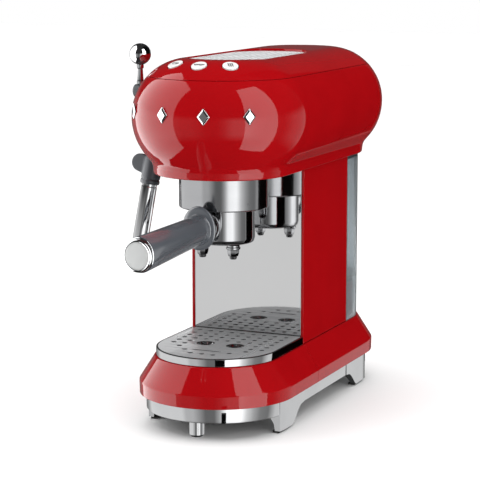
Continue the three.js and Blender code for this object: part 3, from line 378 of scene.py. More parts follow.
def lathe(profile, x=0.0, y=0.0, steps=64):
    """Turned solid about an upright axis; a profile that starts and ends at radius 0 is closed."""
    rings = [[(px, py, z) for px, py in circle(max(r, 1e-4), steps, x, y)] for r, z in profile]
    on_axis = profile[0][0] < 1e-3
    return rings_mesh(rings, loop=not on_axis)


def cleaned(made):
    bmesh.ops.remove_doubles(made, verts=made.verts, dist=0.002)
    bmesh.ops.dissolve_degenerate(made, edges=made.edges, dist=0.001)
    bmesh.ops.recalc_face_normals(made, faces=made.faces)
    return made


def mesh_of(name, made):
    """A mesh with a bmesh's shape; the bmesh is used up."""
    mesh = bpy.data.meshes.new(name)
    made.to_mesh(mesh)
    made.free()
    return mesh


def linked(name, data):
    made = bpy.data.objects.new(name, data)
    scene.collection.objects.link(made)
    return made


def joined(*parts):
    whole = bmesh.new()
    for part in parts:
        mesh = mesh_of("part", part)
        whole.from_mesh(mesh)
        bpy.data.meshes.remove(mesh)
    return whole


def moved(made, matrix):
    bmesh.ops.transform(made, matrix=matrix, verts=made.verts)
    return made


def placed(name, made, material, body, nodes, sharp=32, clean=True):
    """Turns a mesh drawn in machine millimetres into a piece that rides on a body."""
    if clean:
        cleaned(made)
    made.transform(Matrix.Scale(0.001, 4) @ Matrix.Translation(ORIGIN))
    return shown(name, mesh_of(name, made), material, body, nodes, sharp)


def shown(name, mesh, material, body, nodes, sharp=32):
    mesh.materials.clear()
    mesh.materials.append(material)
    mesh.polygons.foreach_set("use_smooth", [True] * len(mesh.polygons))
    mesh.set_sharp_from_angle(angle=radians(sharp))
    piece = linked(name, mesh)
    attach(piece, body)
    if nodes:
        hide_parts(*nodes)
    return piece


def final_mesh(piece):
    graph = bpy.context.evaluated_depsgraph_get()
    return bpy.data.meshes.new_from_object(piece.evaluated_get(graph))


def curve_mesh(curve, loops, closed):
    """The solid of a curve that runs through lists of points; the curve is used up."""
    for loop in loops:
        spline = curve.splines.new("POLY")
        spline.points.add(len(loop) - 1)
        for point, place in zip(spline.points, loop):
            point.co = (*place, 1)
        spline.use_cyclic_u = closed
    piece = linked("curve", curve)
    mesh = final_mesh(piece)
    made = bmesh.new()
    made.from_mesh(mesh)
    bpy.data.objects.remove(piece)
    bpy.data.curves.remove(curve)
    bpy.data.meshes.remove(mesh)
    return made


def evaluated(piece):
    """Applies a piece's modifiers to its mesh."""
    mesh = final_mesh(piece)
    old = piece.data
    piece.modifiers.clear()
    piece.data = mesh
    bpy.data.meshes.remove(old)
    return piece


def cut(target, tool, operation="DIFFERENCE"):
    """Boolean of two bmeshes, both in machine millimetres."""
    body, cutter = (linked("scratch", mesh_of("scratch", cleaned(made))) for made in (target, tool))
    modifier = body.modifiers.new("cut", "BOOLEAN")
    modifier.operation = operation
    modifier.object = cutter
    modifier.solver = "EXACT"
    evaluated(body)
    made = bmesh.new()
    made.from_mesh(body.data)
    for piece in (body, cutter):
        mesh = piece.data
        bpy.data.objects.remove(piece)
        bpy.data.meshes.remove(mesh)
    return made


def finished(piece, width, segments, angle=35):
    """Rounds the edges of a piece that are sharper than an angle; the width is in millimetres."""
    modifier = piece.modifiers.new("edges", "BEVEL")
    modifier.width = width / MM
    modifier.segments = segments
    modifier.limit_method = "ANGLE"
    modifier.angle_limit = radians(angle)
    modifier.harden_normals = True
    return evaluated(piece)


def fine_copy(source, material, width, segments):
    """The CAD node's own shape with its flat faces joined and its edges rounded."""
    body = frame["nodes"][source]["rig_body"]
    made = bmesh.new()
    made.from_mesh(frame["nodes"][source].data)
    bmesh.ops.remove_doubles(made, verts=made.verts, dist=1e-5)
    bmesh.ops.dissolve_limit(made, angle_limit=radians(1), verts=made.verts, edges=made.edges)
    bmesh.ops.recalc_face_normals(made, faces=made.faces)
    name = source + "_fine"
    piece = shown(name, mesh_of(name, made), material, body, (source,))
    return finished(piece, width, segments)


def plate(outline, holes, low, high, edge):
    """Flat sheet with holes and rounded rims, from a filled outline."""
    curve = bpy.data.curves.new("sheet", "CURVE")
    curve.dimensions = "2D"
    curve.fill_mode = "BOTH"
    curve.extrude = (high - low) / 2 - edge
    curve.bevel_depth = edge
    curve.bevel_resolution = 1
    curve.offset = -edge
    made = curve_mesh(curve, [[(x, y, 0) for x, y in loop] for loop in (outline, *holes)], True)
    return moved(made, Matrix.Translation((0, 0, (low + high) / 2)))


def circle(radius, steps, x=0.0, y=0.0):
    return [(x + radius * math.cos(2 * math.pi * i / steps), y + radius * math.sin(2 * math.pi * i / steps))
            for i in range(steps)]


def line_tube(points, radius):
    """Thin rod that follows straight strokes, for engraved and printed marks."""
    curve = bpy.data.curves.new("stroke", "CURVE")
    curve.dimensions = "3D"
    curve.bevel_depth = radius
    curve.bevel_resolution = 2
    curve.use_fill_caps = True
    return curve_mesh(curve, [points], False)


# ---- camera, light and floor

VIEW_PLACE, VIEW_TURN, VIEW_DROP, VIEW_LENS = (609, -1434, 400.4), 23.7, 9.44, 136.3
camera_data = bpy.data.cameras.new("camera")
camera_data.lens = VIEW_LENS
camera_data.sensor_width = 36
camera_data.clip_end = 20
camera = linked("camera", camera_data)
camera.location = (Vector(VIEW_PLACE) + ORIGIN) / MM
camera.rotation_euler = (radians(90 - VIEW_DROP), 0, radians(VIEW_TURN))
scene.camera = camera
scene.view_settings.view_transform = "Standard"

axis = Vector((ORIGIN.x, ORIGIN.y + head_front, 0)) / MM  # of the head's round front


def around(degrees, distance, height):
    """A point round the machine's front end: 0 is straight ahead of it, 90 to its right."""
    angle = radians(degrees)
    return axis + Vector((math.sin(angle), -math.cos(angle), 0)) * distance + Vector((0, 0, height))


def softbox(name, degrees, distance, height, width, tall, radiance, glossy=True, target=0.2):
    """Area light in metres, for glossy rays only or for diffuse rays only."""
    data = bpy.data.lights.new(name, "AREA")
    data.shape = "RECTANGLE"
    data.size, data.size_y = width, tall
    data.energy = radiance * math.pi * width * tall
    light = linked(name, data)
    light.location = around(degrees, distance, height)
    aim = axis + Vector((0, 0, target)) - light.location
    light.rotation_euler = aim.to_track_quat("-Z", "Y").to_euler()
    light.visible_camera = False
    light.visible_glossy = glossy
    light.visible_diffuse = not glossy
    light.visible_transmission = False
    return light


left_box = softbox("left_box", -74, 0.45, 0.37, 0.7, 1.3, 3.6, target=0.37)
right_box = softbox("right_box", 71, 0.45, 0.37, 0.345, 1.3, 4.6, target=0.37)
softbox("left_fill", -60, 1.4, 0.8, 1.4, 1.2, 1.5, glossy=False)
softbox("front_fill", 40, 1.9, 0.7, 1.6, 1.2, 1.7, glossy=False)
softbox("side_fill", 92, 1.7, 0.5, 1.6, 0.9, 1.7, glossy=False)
top_box = softbox("sheet_box", -156, 1.4, 0.42, 1.6, 0.5, 1.2)
sky = bpy.data.lights.new("sky", "SUN")
sky.energy = 2.7
sky.angle = radians(80)
sun = linked("sky", sky)
sun.visible_glossy = False
sun.visible_camera = False


CARD_SHADE = 0.004


def card(name, degrees, distance, width, low, high):
    """Black board beside the machine that only its reflections meet."""
    made = bmesh.new()
    corners = [(-width / 2, low), (width / 2, low), (width / 2, high), (-width / 2, high)]
    made.faces.new([made.verts.new((x, 0, z)) for x, z in corners])
    mesh = mesh_of(name, made)
    material, bsdf = shader(name, (CARD_SHADE,) * 3, 0.9, specular=0.0)
    tree = material.node_tree
    color = blended(tree, noise(tree, 9), (CARD_SHADE,) * 3, (CARD_SHADE * 1.5,) * 3)
    tree.links.new(color, bsdf.inputs["Base Color"])
    mesh.materials.append(material)
    board = linked(name, mesh)
    board.location = around(degrees, distance, 0)
    board.rotation_euler = (0, 0, radians(degrees))
    for way in ("camera", "diffuse", "transmission", "shadow", "volume_scatter"):
        setattr(board, "visible_" + way, False)
    return board


card("strip_plinth", 28, 0.13, 0.012, -0.03, 0.014)
card("strip_rim", 24, 0.13, 0.03, 0.03, 0.062)
side_board = card("board_right", 0, 0, 0.56, 0.03, 0.8)
side_board.location = (Vector((88, 220, 0)) + ORIGIN) / MM
side_board.rotation_euler = (0, 0, radians(90))

made = bmesh.new()
bmesh.ops.create_grid(made, x_segments=8, y_segments=8, size=6)
floor_mesh = mesh_of("floor", made)
floor_mesh.materials.append(surface("pale_floor", (0.83,) * 3, (0.82,) * 3, 0.6, 60, 0.0001, strength=0.05,
                                    smudge=2, specular=0.1))
floor = linked("floor", floor_mesh)
floor.visible_glossy = False

# The studio walls by bearing round the machine, 0 straight ahead of it, as half their brightness.
WALLS = (
    (-180, 0.03), (-150, 0.04), (-125, 0.2), (-110, 0.46), (-36, 0.46), (-29, 0.34), (-17, 0.34), (-5, 0.2),
    (3, 0.1), (17, 0.1), (26, 0.3), (37, 0.9), (56, 1.0), (68, 0.5), (80, 0.28), (92, 0.15), (108, 0.12),
    (125, 0.4), (165, 0.4), (180, 0.03),
)
ABOVE, BELOW = (0.025,) * 3, (0.02,) * 3  # over and under the walls

world = bpy.data.worlds.new("studio")
scene.world = world
world.use_nodes = True
tree = world.node_tree
tree.nodes.clear()
link = tree.links.new


def background(color, strength=1.0):
    made = node(tree, "ShaderNodeBackground")
    if isinstance(color, tuple):
        made.inputs["Color"].default_value = (*color, 1)
    else:
        link(color, made.inputs["Color"])
    made.inputs["Strength"].default_value = strength
    return made.outputs["Background"]


def chosen(factor, first, second):
    made = node(tree, "ShaderNodeMixShader")
    for source, socket in ((factor, "Fac"), (first, 1), (second, 2)):
        link(source, made.inputs[socket])
    return made.outputs["Shader"]


direction = node(tree, "ShaderNodeTexCoord")
split = node(tree, "ShaderNodeSeparateXYZ")
link(direction.outputs["Generated"], split.inputs["Vector"])
back = node(tree, "ShaderNodeMath", operation="MULTIPLY")
back.inputs[1].default_value = -1
link(split.outputs["Y"], back.inputs[0])
bearing = node(tree, "ShaderNodeMath", operation="ARCTAN2")
link(split.outputs["X"], bearing.inputs[0])
link(back.outputs["Value"], bearing.inputs[1])
walls = node(tree, "ShaderNodeValToRGB")
ramp = walls.color_ramp
for place, (degrees, level) in enumerate(WALLS):
    stop = ramp.elements[place] if place < 2 else ramp.elements.new(1)
    stop.position = (degrees + 180) / 360
    stop.color = (level, level, level, 1)
link(ranged(tree, bearing.outputs["Value"], 0, 1, -math.pi, math.pi), walls.inputs["Fac"])
sides = blended(tree, ranged(tree, split.outputs["Z"], 0, 1, 0.02, 0.16), walls.outputs["Color"], ABOVE)
studio = blended(tree, ranged(tree, split.outputs["Z"], 1, 0, -0.6, -0.4), sides, BELOW)
ray = node(tree, "ShaderNodeLightPath").outputs
lit = chosen(ray["Is Glossy Ray"], background((0.6,) * 3), background(studio, 2.0))
shown_world = chosen(ray["Is Camera Ray"], lit, background((1.0,) * 3))
link(shown_world, node(tree, "ShaderNodeOutputWorld").inputs["Surface"])

# ---- base

wall = 2.5
front_inner, rear_inner = 47.0, 30.0  # how far in the covers' tops reach
cover_profile = eased([
    (skirt_r, base_bottom), (edge_r, base_edge), (top_r, base_top), (front_inner, base_top),
], [0, 3.0, 1.6, 0], 6) + [
    (front_inner, base_top - wall), (top_r - 3, base_top - wall), (edge_r - 3, base_edge),
    (skirt_r - wall, base_bottom),
]
seam_y = base_high.y
made = sweep(cover_profile, front_path(spine_front, seam_y), wrap=False, side_caps=True)
front_cover = placed("base_front_enamel", made, RED, "machine", ("base_front_cover",))
finished(front_cover, 0.25, 2, 50)
rear_profile = [(rear_inner if r == front_inner else r, z) for r, z in cover_profile]
made = sweep(rear_profile, rear_path(spine_rear, seam_y + 0.3), wrap=False, side_caps=True)
rear_cover = placed("base_rear_enamel", made, RED, "machine", ("base_rear_cover",))
finished(rear_cover, 0.25, 2, 50)

plinth_top, pad_top, band_bottom = plinth_high.z, plinth_low.z, plinth_high.z - 12.7
band = sweep(eased([
    (plinth_r - 0.5, band_bottom), (plinth_r - 0.5, plinth_top), (plinth_r - 5, plinth_top),
    (plinth_r - 5, band_bottom),
], [0.8, 0.6, 0, 0.6], 3, closed=True), full_path(spine_front, spine_rear))


def leg_ring():
    inner = plinth_r - 10.5
    taper = [(plinth_r, pad_top), (plinth_r, plinth_top), (inner, plinth_top), (inner, band_bottom + 1)]
    taper += [(inner + 5.5 * math.sin(radians(t)) ** 1.5, band_bottom + 1 - 11 * t / 90)
              for t in range(15, 91, 15)]
    taper += [(plinth_r - 4.5, pad_top)]
    return sweep(taper, full_path(spine_front, spine_rear))


def leg_cutter(side, spine):
    """Block that keeps the legs of one end: upright front, flat toe, hollow curve up to the band."""
    front, toe, heel = spine + 11.6, spine - 14, spine - 35
    rise = band_bottom - pad_top
    outline = [(front, plinth_top + 1), (front, pad_top - 1), (toe, pad_top - 1), (toe, pad_top)]
    outline += [(toe + (heel - toe) * t / 10, pad_top + rise * math.sin(math.pi * t / 20) ** 1.3)
                for t in range(1, 11)]
    outline += [(heel - 4, band_bottom + 0.4), (heel - 4, plinth_top + 1)]
    rings = [[(x, side * y, z) for y, z in outline] for x in (-90, 90)]
    return rings_mesh(rings, caps=True)


legs = [cut(leg_ring(), leg_cutter(side, spine), "INTERSECT")
        for side, spine in ((-1, -spine_front), (1, spine_rear))]
plinth = placed("plinth_chrome", joined(band, *legs), CHROME, "machine", ("plinth_frame",),
                clean=False)
finished(plinth, 0.5, 3, 40)

foot_r, foot_y = foot_high.x, (foot_low.y + foot_high.y) / 2
made = lathe(eased([
    (0, foot_low.z), (foot_r - 1.6, foot_low.z), (foot_r, foot_low.z + 1.6), (foot_r, foot_high.z - 9),
    (foot_r - 0.5, foot_high.z - 8.4), (foot_r - 0.5, foot_high.z - 7.4), (foot_r, foot_high.z - 6.8),
    (foot_r, foot_high.z), (0, foot_high.z),
], [0, 1.2, 1.2, 0.2, 0.2, 0.2, 0.2, 0.5, 0], 4), 0, foot_y, 48)
placed("front_foot_chrome", made, CHROME, "machine", ("front_foot",))

gland_z = (gland_low.z + gland_high.z) / 2
made = lathe(eased([
    (2.4, gland_low.y), (3.6, gland_low.y), (3.6, gland_high.y - 2.2), (4.6, gland_high.y - 2.2),
    (4.6, gland_high.y), (3.4, gland_high.y), (2.4, gland_high.y - 1.2),
], 0.3, 2, closed=True), steps=40)
moved(made, Matrix.Translation((0, 0, gland_z)) @ Matrix.Rotation(radians(-90), 4, "X"))
placed("gland_rubber", made, RUBBER, "machine", ("cable_gland",))

# ---- drip tray

tray_rear = grate_high.y
grate_r = grate_high.x
grate_top = grate_high.z
sheet_path = inset_path(grate_r, spine_front, tray_rear, -1)
rim_profile = eased([
    (0, grate_low.z), (0, grate_top), (1.6, grate_top), (1.6, grate_top - 1.2), (1.4, grate_low.z),
], [0.3, 1.0, 0, 0, 0.2], 4, closed=True)
placed("grate_rim", sweep(rim_profile, sheet_path), CHROME, "drip_grate", ("drip_grate",))

dish_x = 13.5
dish_y = spout_y + 4.5
slot_y = dish_y - 24.9
slot_half = 12
HOLE_R, HOLE_GAP, ROW_GAP = 2.3, 10, 10.45


def long_hole(x0, y0, x1, y1, radius, start, step):
    """Outline of a slot between two points; start is the angle where its far end begins."""
    half = [polar(radius, a) for a in range(start, start + 181, step)]
    other = [polar(radius, a) for a in range(start + 180, start + 361, step)]
    return [(x1 + dx, y1 + dy) for dx, dy in half] + [(x0 + dx, y0 + dy) for dx, dy in other]


holes = []
for row, reach in enumerate((4, 4, 4, 4, 4, 4, 3, 2, 1)):
    y = tray_rear + 0.3 - 9.5 - row * ROW_GAP
    for i in range(-reach, reach + 1):
        if not (3 < row < 8 and abs(i) < (3 if row < 7 else 2)):
            holes.append(circle(HOLE_R, 20, i * HOLE_GAP, y))
for side in (-1, 1):
    holes.append(circle(7.5, 48, side * dish_x, dish_y))
holes.append(long_hole(-slot_half - 1, slot_y, slot_half - 1, slot_y, 1.25, -90, 30))
sheet = plate(sheet_path(1.5), holes, grate_top - 0.5, grate_top - 0.02, 0.12)
placed("grate_sheet", sheet, SHEET_BRUSHED, "drip_grate", ())
dishes = []
for side in (-1, 1):
    dishes.append(lathe(eased([
        (0, grate_top - 1.9), (4.6, grate_top - 1.8), (6.4, grate_top - 0.1), (7.2, grate_top),
        (7.9, grate_top), (7.9, grate_top - 1.0), (6.9, grate_top - 1.2), (4.8, grate_top - 2.9),
        (0, grate_top - 3.0),
    ], [0, 1.2, 0.6, 0.2, 0.3, 0.2, 0.8, 1.0, 0], 4), side * dish_x, dish_y, 64))
slot_bar = line_tube([(x, slot_y - 0.2, grate_top - 0.75) for x in (-slot_half, slot_half - 2)], 0.8)
placed("grate_dishes", joined(*[cleaned(d) for d in dishes], slot_bar), GROUP_CHROME, "drip_grate", (),
       clean=False)

pan_path = inset_path(pan_high.x, spine_front, pan_high.y, -1)
flange = pan_high.z
made = sweep(eased([
    (4.4, pan_low.z), (3.8, pan_low.z + 2), (3.8, flange - 2), (0, flange - 1.8), (0, flange), (5.8, flange),
    (5.8, pan_low.z + 2.6), (6.6, pan_low.z + 2),
], [1, 1, 0.4, 0.3, 0.3, 0.4, 1, 0.6], 3), pan_path, loop=False, caps=True)
placed("pan_plastic", made, BLACK, "drip_pan", ("drip_pan",))

# ---- column

fine_copy("column_cover", RED, 0.7, 4)
fine_copy("splash_panel", MIRROR, 0.25, 2)
fine_copy("rear_wall", GREY, 0.3, 2)
fine_copy("switch_frame", BLACK, 0.5, 3)
fine_copy("power_switch", BLACK, 0.5, 3)

# ---- water tank

tank_front = tank_low.y
tank_r = tank_high.x
tank_path = inset_path(tank_r, spine_rear, tank_front, 1)
tank_floor = tank_low.z + 37.7
made = sweep(eased([
    (2, tank_floor), (2, tank_low.z), (0, tank_low.z), (0, tank_high.z), (2, tank_high.z),
    (2, tank_floor + 2),
], [0.6, 0, 0.3, 0.4, 0.4, 1.2], 3), tank_path, loop=False, caps=True)
placed("tank_clear", made, CLEAR, "water_tank", ("tank_body",))
fill_half, fill_rear = 20, spine_rear + 30
fill = eased([(-fill_half, fill_rear - 34), (fill_half, fill_rear - 34), (fill_half, fill_rear),
              (-fill_half, fill_rear)], 4, 6, closed=True)
made = plate(tank_path(0), [fill], lid_low.z, lid_high.z, 0.5)
placed("lid_plastic", made, DARK_GREY, "water_tank", ("tank_lid",))

for name, (low, high), material, node_name, slot, width in (
    ("dock_enamel", (dock_low, dock_high), RED, "tank_dock", "red_paint", 1.2),
    ("dock_seal_rubber", (seal_low, seal_high), RUBBER, "tank_dock_seal", "black_rubber", 0.9),
):
    made = sweep([(0, low.z), (0, high.z)], inset_path(high.x, spine_rear, low.y, 1), loop=False,
                 caps=True)
    finished(placed(name, made, material, "machine", (node_name,)), width, 4, 50)

# ---- head

lower_r, upper_r = head_r - lower_arc, head_r - upper_arc
waist_height = 13.5  # of the narrow place between the lip and the round side
waist = math.degrees(math.asin((head_bottom + waist_height - head_middle) / lower_arc))
flank = arc(lower_r, head_middle, lower_arc, waist, 0, 20)
shoulder = arc(upper_r, head_middle, upper_arc, 0, 90, 34)
lip = eased([
    (lip_r - 5, head_bottom), (lip_r - 0.6, head_bottom), (lip_r, head_bottom + 6),
    (lip_r + 1.1, head_bottom + 9.6), flank[2],
], [0, 1.6, 5, 9, 0], 6)
outer = lip[:-1] + flank[2:] + shoulder[1:]
below = [(r, z) for r, z in outer if z < seam - 0.2]
cut_angle = math.asin((seam - head_middle) / upper_arc)
seam_r = upper_r + upper_arc * math.cos(cut_angle)
head_path = full_path(head_front, head_rear)
shell = below + eased([
    below[-1], (seam_r + 0.1, seam - 0.15), (seam_r - 2.5, seam - 0.15), (seam_r - 3.2, seam - 3),
], [0, 0.35, 0, 0], 3)[1:]
shell += [(head_r - 2.6, head_middle), (lower_r + 40, head_middle - 26), (lip_r - 2.5, head_bottom + 9),
          (lip_r - 5, head_bottom + 2)]
placed("head_enamel", sweep(shell, head_path), RED, "machine", ("head_shell",), sharp=50)

well_r = plate_high.x + 0.3
well_front = plate_low.y + plate_high.x
well_rear = plate_high.y - plate_high.x
well_path = full_path(well_front, well_rear)


def skin_height(x, y):
    """Height of the head's outer surface above a point of its plan."""
    off = math.hypot(x, y - min(max(y, head_front), head_rear))
    if off <= upper_r:
        return head_top
    return head_middle + math.sqrt(upper_arc ** 2 - (off - upper_r) ** 2)


above = [(r, z) for r, z in outer if z > seam + 0.3 and r > 44]
rim = eased([(seam_r - 2.5, seam + 0.15), (seam_r - 0.1, seam + 0.15), above[0]], [0, 0.35, 0], 3)[:-1]
rings = [[(x, y, plate_low.z - 2) for x, y in well_path(well_r + 2)]]
rings += [[(x, y, z) for x, y in head_path(r)] for r, z in rim + above]
outside, inside = head_path(above[-1][0]), well_path(well_r + 0.5)
SKIN_STEPS = 14
for k in range(1, SKIN_STEPS + 1):
    t = k / SKIN_STEPS
    mixed_ring = [(x0 + (x1 - x0) * t, y0 + (y1 - y0) * t) for (x0, y0), (x1, y1) in zip(outside, inside)]
    rings.append([(x, y, skin_height(x, y)) for x, y in mixed_ring])
for drop, out in ((0.15, 0.15), (0.5, 0)):
    rings.append([(x, y, skin_height(x, y) - drop) for x, y in well_path(well_r + out)])
rings.append([(x, y, plate_low.z - 0.3) for x, y in well_path(well_r)])
cover = rings_mesh(rings, caps=True)

BUTTON_R, BUTTON_REACH, BUTTON_TURN = 6.5, head_r - 29, 32


def button_frame(degrees):
    """Matrix that stands a piece drawn about Z on a button's place on the head."""
    lean = math.asin((BUTTON_REACH - upper_r) / upper_arc)
    rise = math.sqrt(upper_arc ** 2 - (BUTTON_REACH - upper_r) ** 2)
    turn = radians(degrees)
    place = Vector((BUTTON_REACH * math.sin(turn), head_front - BUTTON_REACH * math.cos(turn),
                    head_middle + rise))
    return Matrix.Translation(place) @ Matrix.Rotation(turn, 4, "Z") @ Matrix.Rotation(lean, 4, "X")


for degrees in (-BUTTON_TURN, 0, BUTTON_TURN):
    pocket = lathe([(0, -12), (BUTTON_R + 0.5, -12), (BUTTON_R + 0.5, 6), (0, 6)])
    cover = cut(cover, moved(pocket, button_frame(degrees)))
placed("top_enamel", cover, RED, "machine", ("top_cover",), sharp=35)

slots = []
SLOT_GAP, SLOT_STEP, SLOT_HALF, SLOT_R = 5.4, 17.0, 5.6, 1.35
margin = plate_high.x - 3
for j in range(-6, 7):
    y = (well_front + well_rear) / 2 + j * SLOT_STEP
    for i in range(-7, 8):
        x = (i + 0.5 * (j % 2)) * SLOT_GAP
        end = max(0, well_front - y + SLOT_HALF, y + SLOT_HALF - well_rear)
        if math.hypot(x, end) < margin:
            slots.append(long_hole(x, y - SLOT_HALF, x, y + SLOT_HALF, SLOT_R, 0, 36))
made = plate(well_path(plate_high.x), slots, plate_high.z - 0.55, plate_high.z, 0.12)
placed("warmer_sheet", made, WARMER, "machine", ("cup_warmer_plate",))

lining_r, lining_top = well_r - 0.3, plate_high.z - 0.65
made = sweep([(0, plate_low.z), (lining_r, plate_low.z), (lining_r, lining_top), (0, lining_top)], well_path,
             loop=False)
placed("warmer_lining", made, BLACK, "machine", ())

BUTTON_TOP = 0.95
dome = eased([(0, -3.6), (BUTTON_R - 0.2, -3.6), (BUTTON_R - 0.2, BUTTON_TOP - 0.3),
              (BUTTON_R - 1.4, BUTTON_TOP), (0, BUTTON_TOP)], [0, 0.3, 0.6, 1, 0], 5)


def cup_icon(x, size):
    bowl = [(x + dx, 0.35 * size + dy, BUTTON_TOP)
            for dx, dy in (polar(size, a) for a in range(180, 361, 20))]
    grip = [(x + size + 0.405 * size * (1 - dx), (0.1 + 0.4 * dy) * size, BUTTON_TOP)
            for dx, dy in (polar(1, a) for a in range(0, 361, 40))]
    return [line_tube(bowl + [bowl[0]], 0.36), line_tube(grip, 0.28)]


def steam_icon():
    return [line_tube([(x + 0.5 * math.sin(t * 1.3), -2.6 + t * 0.65, BUTTON_TOP) for t in range(9)], 0.36)
            for x in (-1.6, 0, 1.6)]


for name, degrees, strokes in (
    ("button_left", -BUTTON_TURN, cup_icon(-0.3, 2.6)),
    ("button_middle", 0, cup_icon(-2.4, 1.6) + cup_icon(1.8, 1.6)),
    ("button_right", BUTTON_TURN, steam_icon()),
):
    place = button_frame(degrees)
    placed(name + "_cap", moved(lathe(dome), place), WHITE, name, (name,))
    placed(name + "_icon", moved(joined(*strokes), place), INK, name, (), clean=False)


def stud(degrees):
    """Plain chrome lozenge on the front of the head, facing out at an angle round it."""
    made = bmesh.new()
    wide, tall, proud, bevel, raised = 5.2, 6.8, 1.6, 1.8, 6
    base = [made.verts.new(p) for p in ((wide, 0, 0), (0, 0, tall), (-wide, 0, 0), (0, 0, -tall))]
    mid = [made.verts.new((v.co.x, -proud * 0.5, v.co.z)) for v in base]
    k = 1 - bevel / wide
    face = [made.verts.new((v.co.x * k, -proud, v.co.z * k)) for v in base]
    for a, b in ((base, mid), (mid, face)):
        for i in range(4):
            made.faces.new((a[i], a[(i + 1) % 4], b[(i + 1) % 4], b[i]))
    made.faces.new(face)
    made.faces.new(base)
    reach = lower_r + lower_arc - 0.35
    turn = radians(degrees)
    place = Vector((reach * math.sin(turn), head_front - reach * math.cos(turn), head_middle + raised))
    return moved(cleaned(made), Matrix.Translation(place) @ Matrix.Rotation(turn, 4, "Z"))


STUD_TURNS = (-49, -15.5, 12.5, 40.5)
studs = placed("head_studs", joined(*map(stud, STUD_TURNS)), GROUP_CHROME, "machine", (),
               clean=False)
finished(studs, 0.35, 3, 20)

# ---- group

made = lathe(eased([
    (collar_r - 5.6, group_bottom), (collar_r - 0.9, group_bottom), (collar_r, group_bottom + 0.9),
    (collar_r, collar_high.z), (collar_r - 5, collar_high.z), (collar_r - 5, group_bottom + 5.5),
    (collar_r - 5.6, group_bottom + 5.5),
], [0.3, 0.4, 0.4, 0.5, 0, 0, 0], 4, closed=True), 0, group_y, 128)
placed("collar_brushed", made, RING_BRUSHED, "machine", ("group_collar",))
marks = []
for degrees in (0, 56):
    for step in (-1, 1):
        points = []
        for turn, z in ((0, 7.2), (2.6, 4.6)):
            dy, dx = polar(collar_r, degrees + step * turn)
            points.append((dx, group_y - dy, group_bottom + z))
        marks.append(line_tube(points, 0.22))
placed("collar_marks", joined(*marks), INK, "machine", (), clean=False)

rim_r = holder_r + 6.1
made = lathe(eased([
    (0, holder_bottom), (holder_r - 1, holder_bottom), (holder_r, holder_bottom + 4),
    (holder_r, group_bottom - 0.6), (rim_r, group_bottom + 2.4), (rim_r, holder_high.z),
    (holder_r - 2.1, holder_high.z),
    (holder_r - 2.1, holder_bottom + 4.3), (0, holder_bottom + 4.3),
], [0, 4.5, 3, 0.5, 0.5, 0.3, 0.3, 1, 0], 6), 0, group_y, 128)
placed("holder_chrome", made, GROUP_CHROME, "portafilter", ("portafilter_body",))

spouts, tips = [], []
spout_r, spout_top = (spout_high.x - spout_low.x) / 2, spout_high.z
for side in (-1, 1):
    spouts.append(cleaned(lathe(eased([
        (2.4, spout_top), (spout_r - 0.6, spout_top), (spout_r - 0.6, spout_top - 1.4),
        (spout_r, spout_top - 1.8), (spout_r, spout_top - 3.2), (spout_r - 0.7, spout_top - 3.8),
        (2.4, spout_top - 3.8),
    ], [0, 0.2, 0.3, 0.4, 0.4, 0.3, 0], 3, closed=True), side * spout_x, spout_y, 48)))
    rings = [[(x, y, spout_top - z) for x, y in circle(r, 8, side * spout_x, spout_y)]
             for r, z in ((5.3, 3.7), (5.4, 4.4), (5.2, 6.4), (4.3, 9.0), (3.6, 9.4))]
    spouts.append(cleaned(rings_mesh(rings, caps=True)))
    tips.append(cleaned(lathe(eased([
        (0, tip_high.z), (3, tip_high.z), (3, tip_high.z - 1), (2.5, tip_low.z), (1.6, tip_low.z),
        (1.6, tip_low.z + 1.4), (0, tip_low.z + 1.4),
    ], 0.2, 3), side * spout_x, spout_y, 32)))
spout_piece = placed("spouts_chrome", joined(*spouts), GROUP_CHROME, "portafilter",
                     ("spout_left", "spout_right"), clean=False)
finished(spout_piece, 0.3, 3, 25)
placed("spout_tips_black", joined(*tips), BLACK, "portafilter", ("spout_tip_left", "spout_tip_right"),
       clean=False)

# The handle is drawn along its own axis, which leaves the bowl at the group's centre line.
HANDLE_TILT, HANDLE_DROP = 2.1, 10.6
handle_frame = (Matrix.Translation((0, group_y, group_bottom - HANDLE_DROP))
                @ Matrix.Rotation(radians(HANDLE_TILT), 4, "X"))
guard = collar_r + 10.2
grip_end = 130.5 + holder_r - 1.4
cap_start = grip_end + 0.1
SLIM, CAP_SLIM = 0.88, 0.92  # width of the grip and of its cap, as a part of their height


def oval(along, wide, up, down=None):
    """Ring across the handle, with one half-height above its middle and another below it."""
    down = up if down is None else down
    return [(x * wide, -along, z * (up if z > 0 else down)) for x, z in circle(1, 64)]


def on_handle(name, sections, material, nodes, sharp=40):
    made = rings_mesh([oval(*section) for section in sections], caps=True)
    placed(name, moved(made, handle_frame), material, "portafilter", nodes, sharp=sharp)


bell = [(holder_r - 3, 7.6), (guard - 19, 7.6), (guard - 17.5, 8.0), (guard - 16, 9.6), (guard - 13, 11.7),
        (guard - 9.5, 12.9), (guard - 5, 13.2), (guard - 2.4, 12.9), (guard - 1.6, 12.2), (guard - 1.2, 11.4),
        (guard - 0.9, 12.2), (guard - 0.2, 12.2)]
on_handle("ferrule_chrome", [(a, r, r) for a, r in bell], GROUP_CHROME, ("handle_ferrule",))

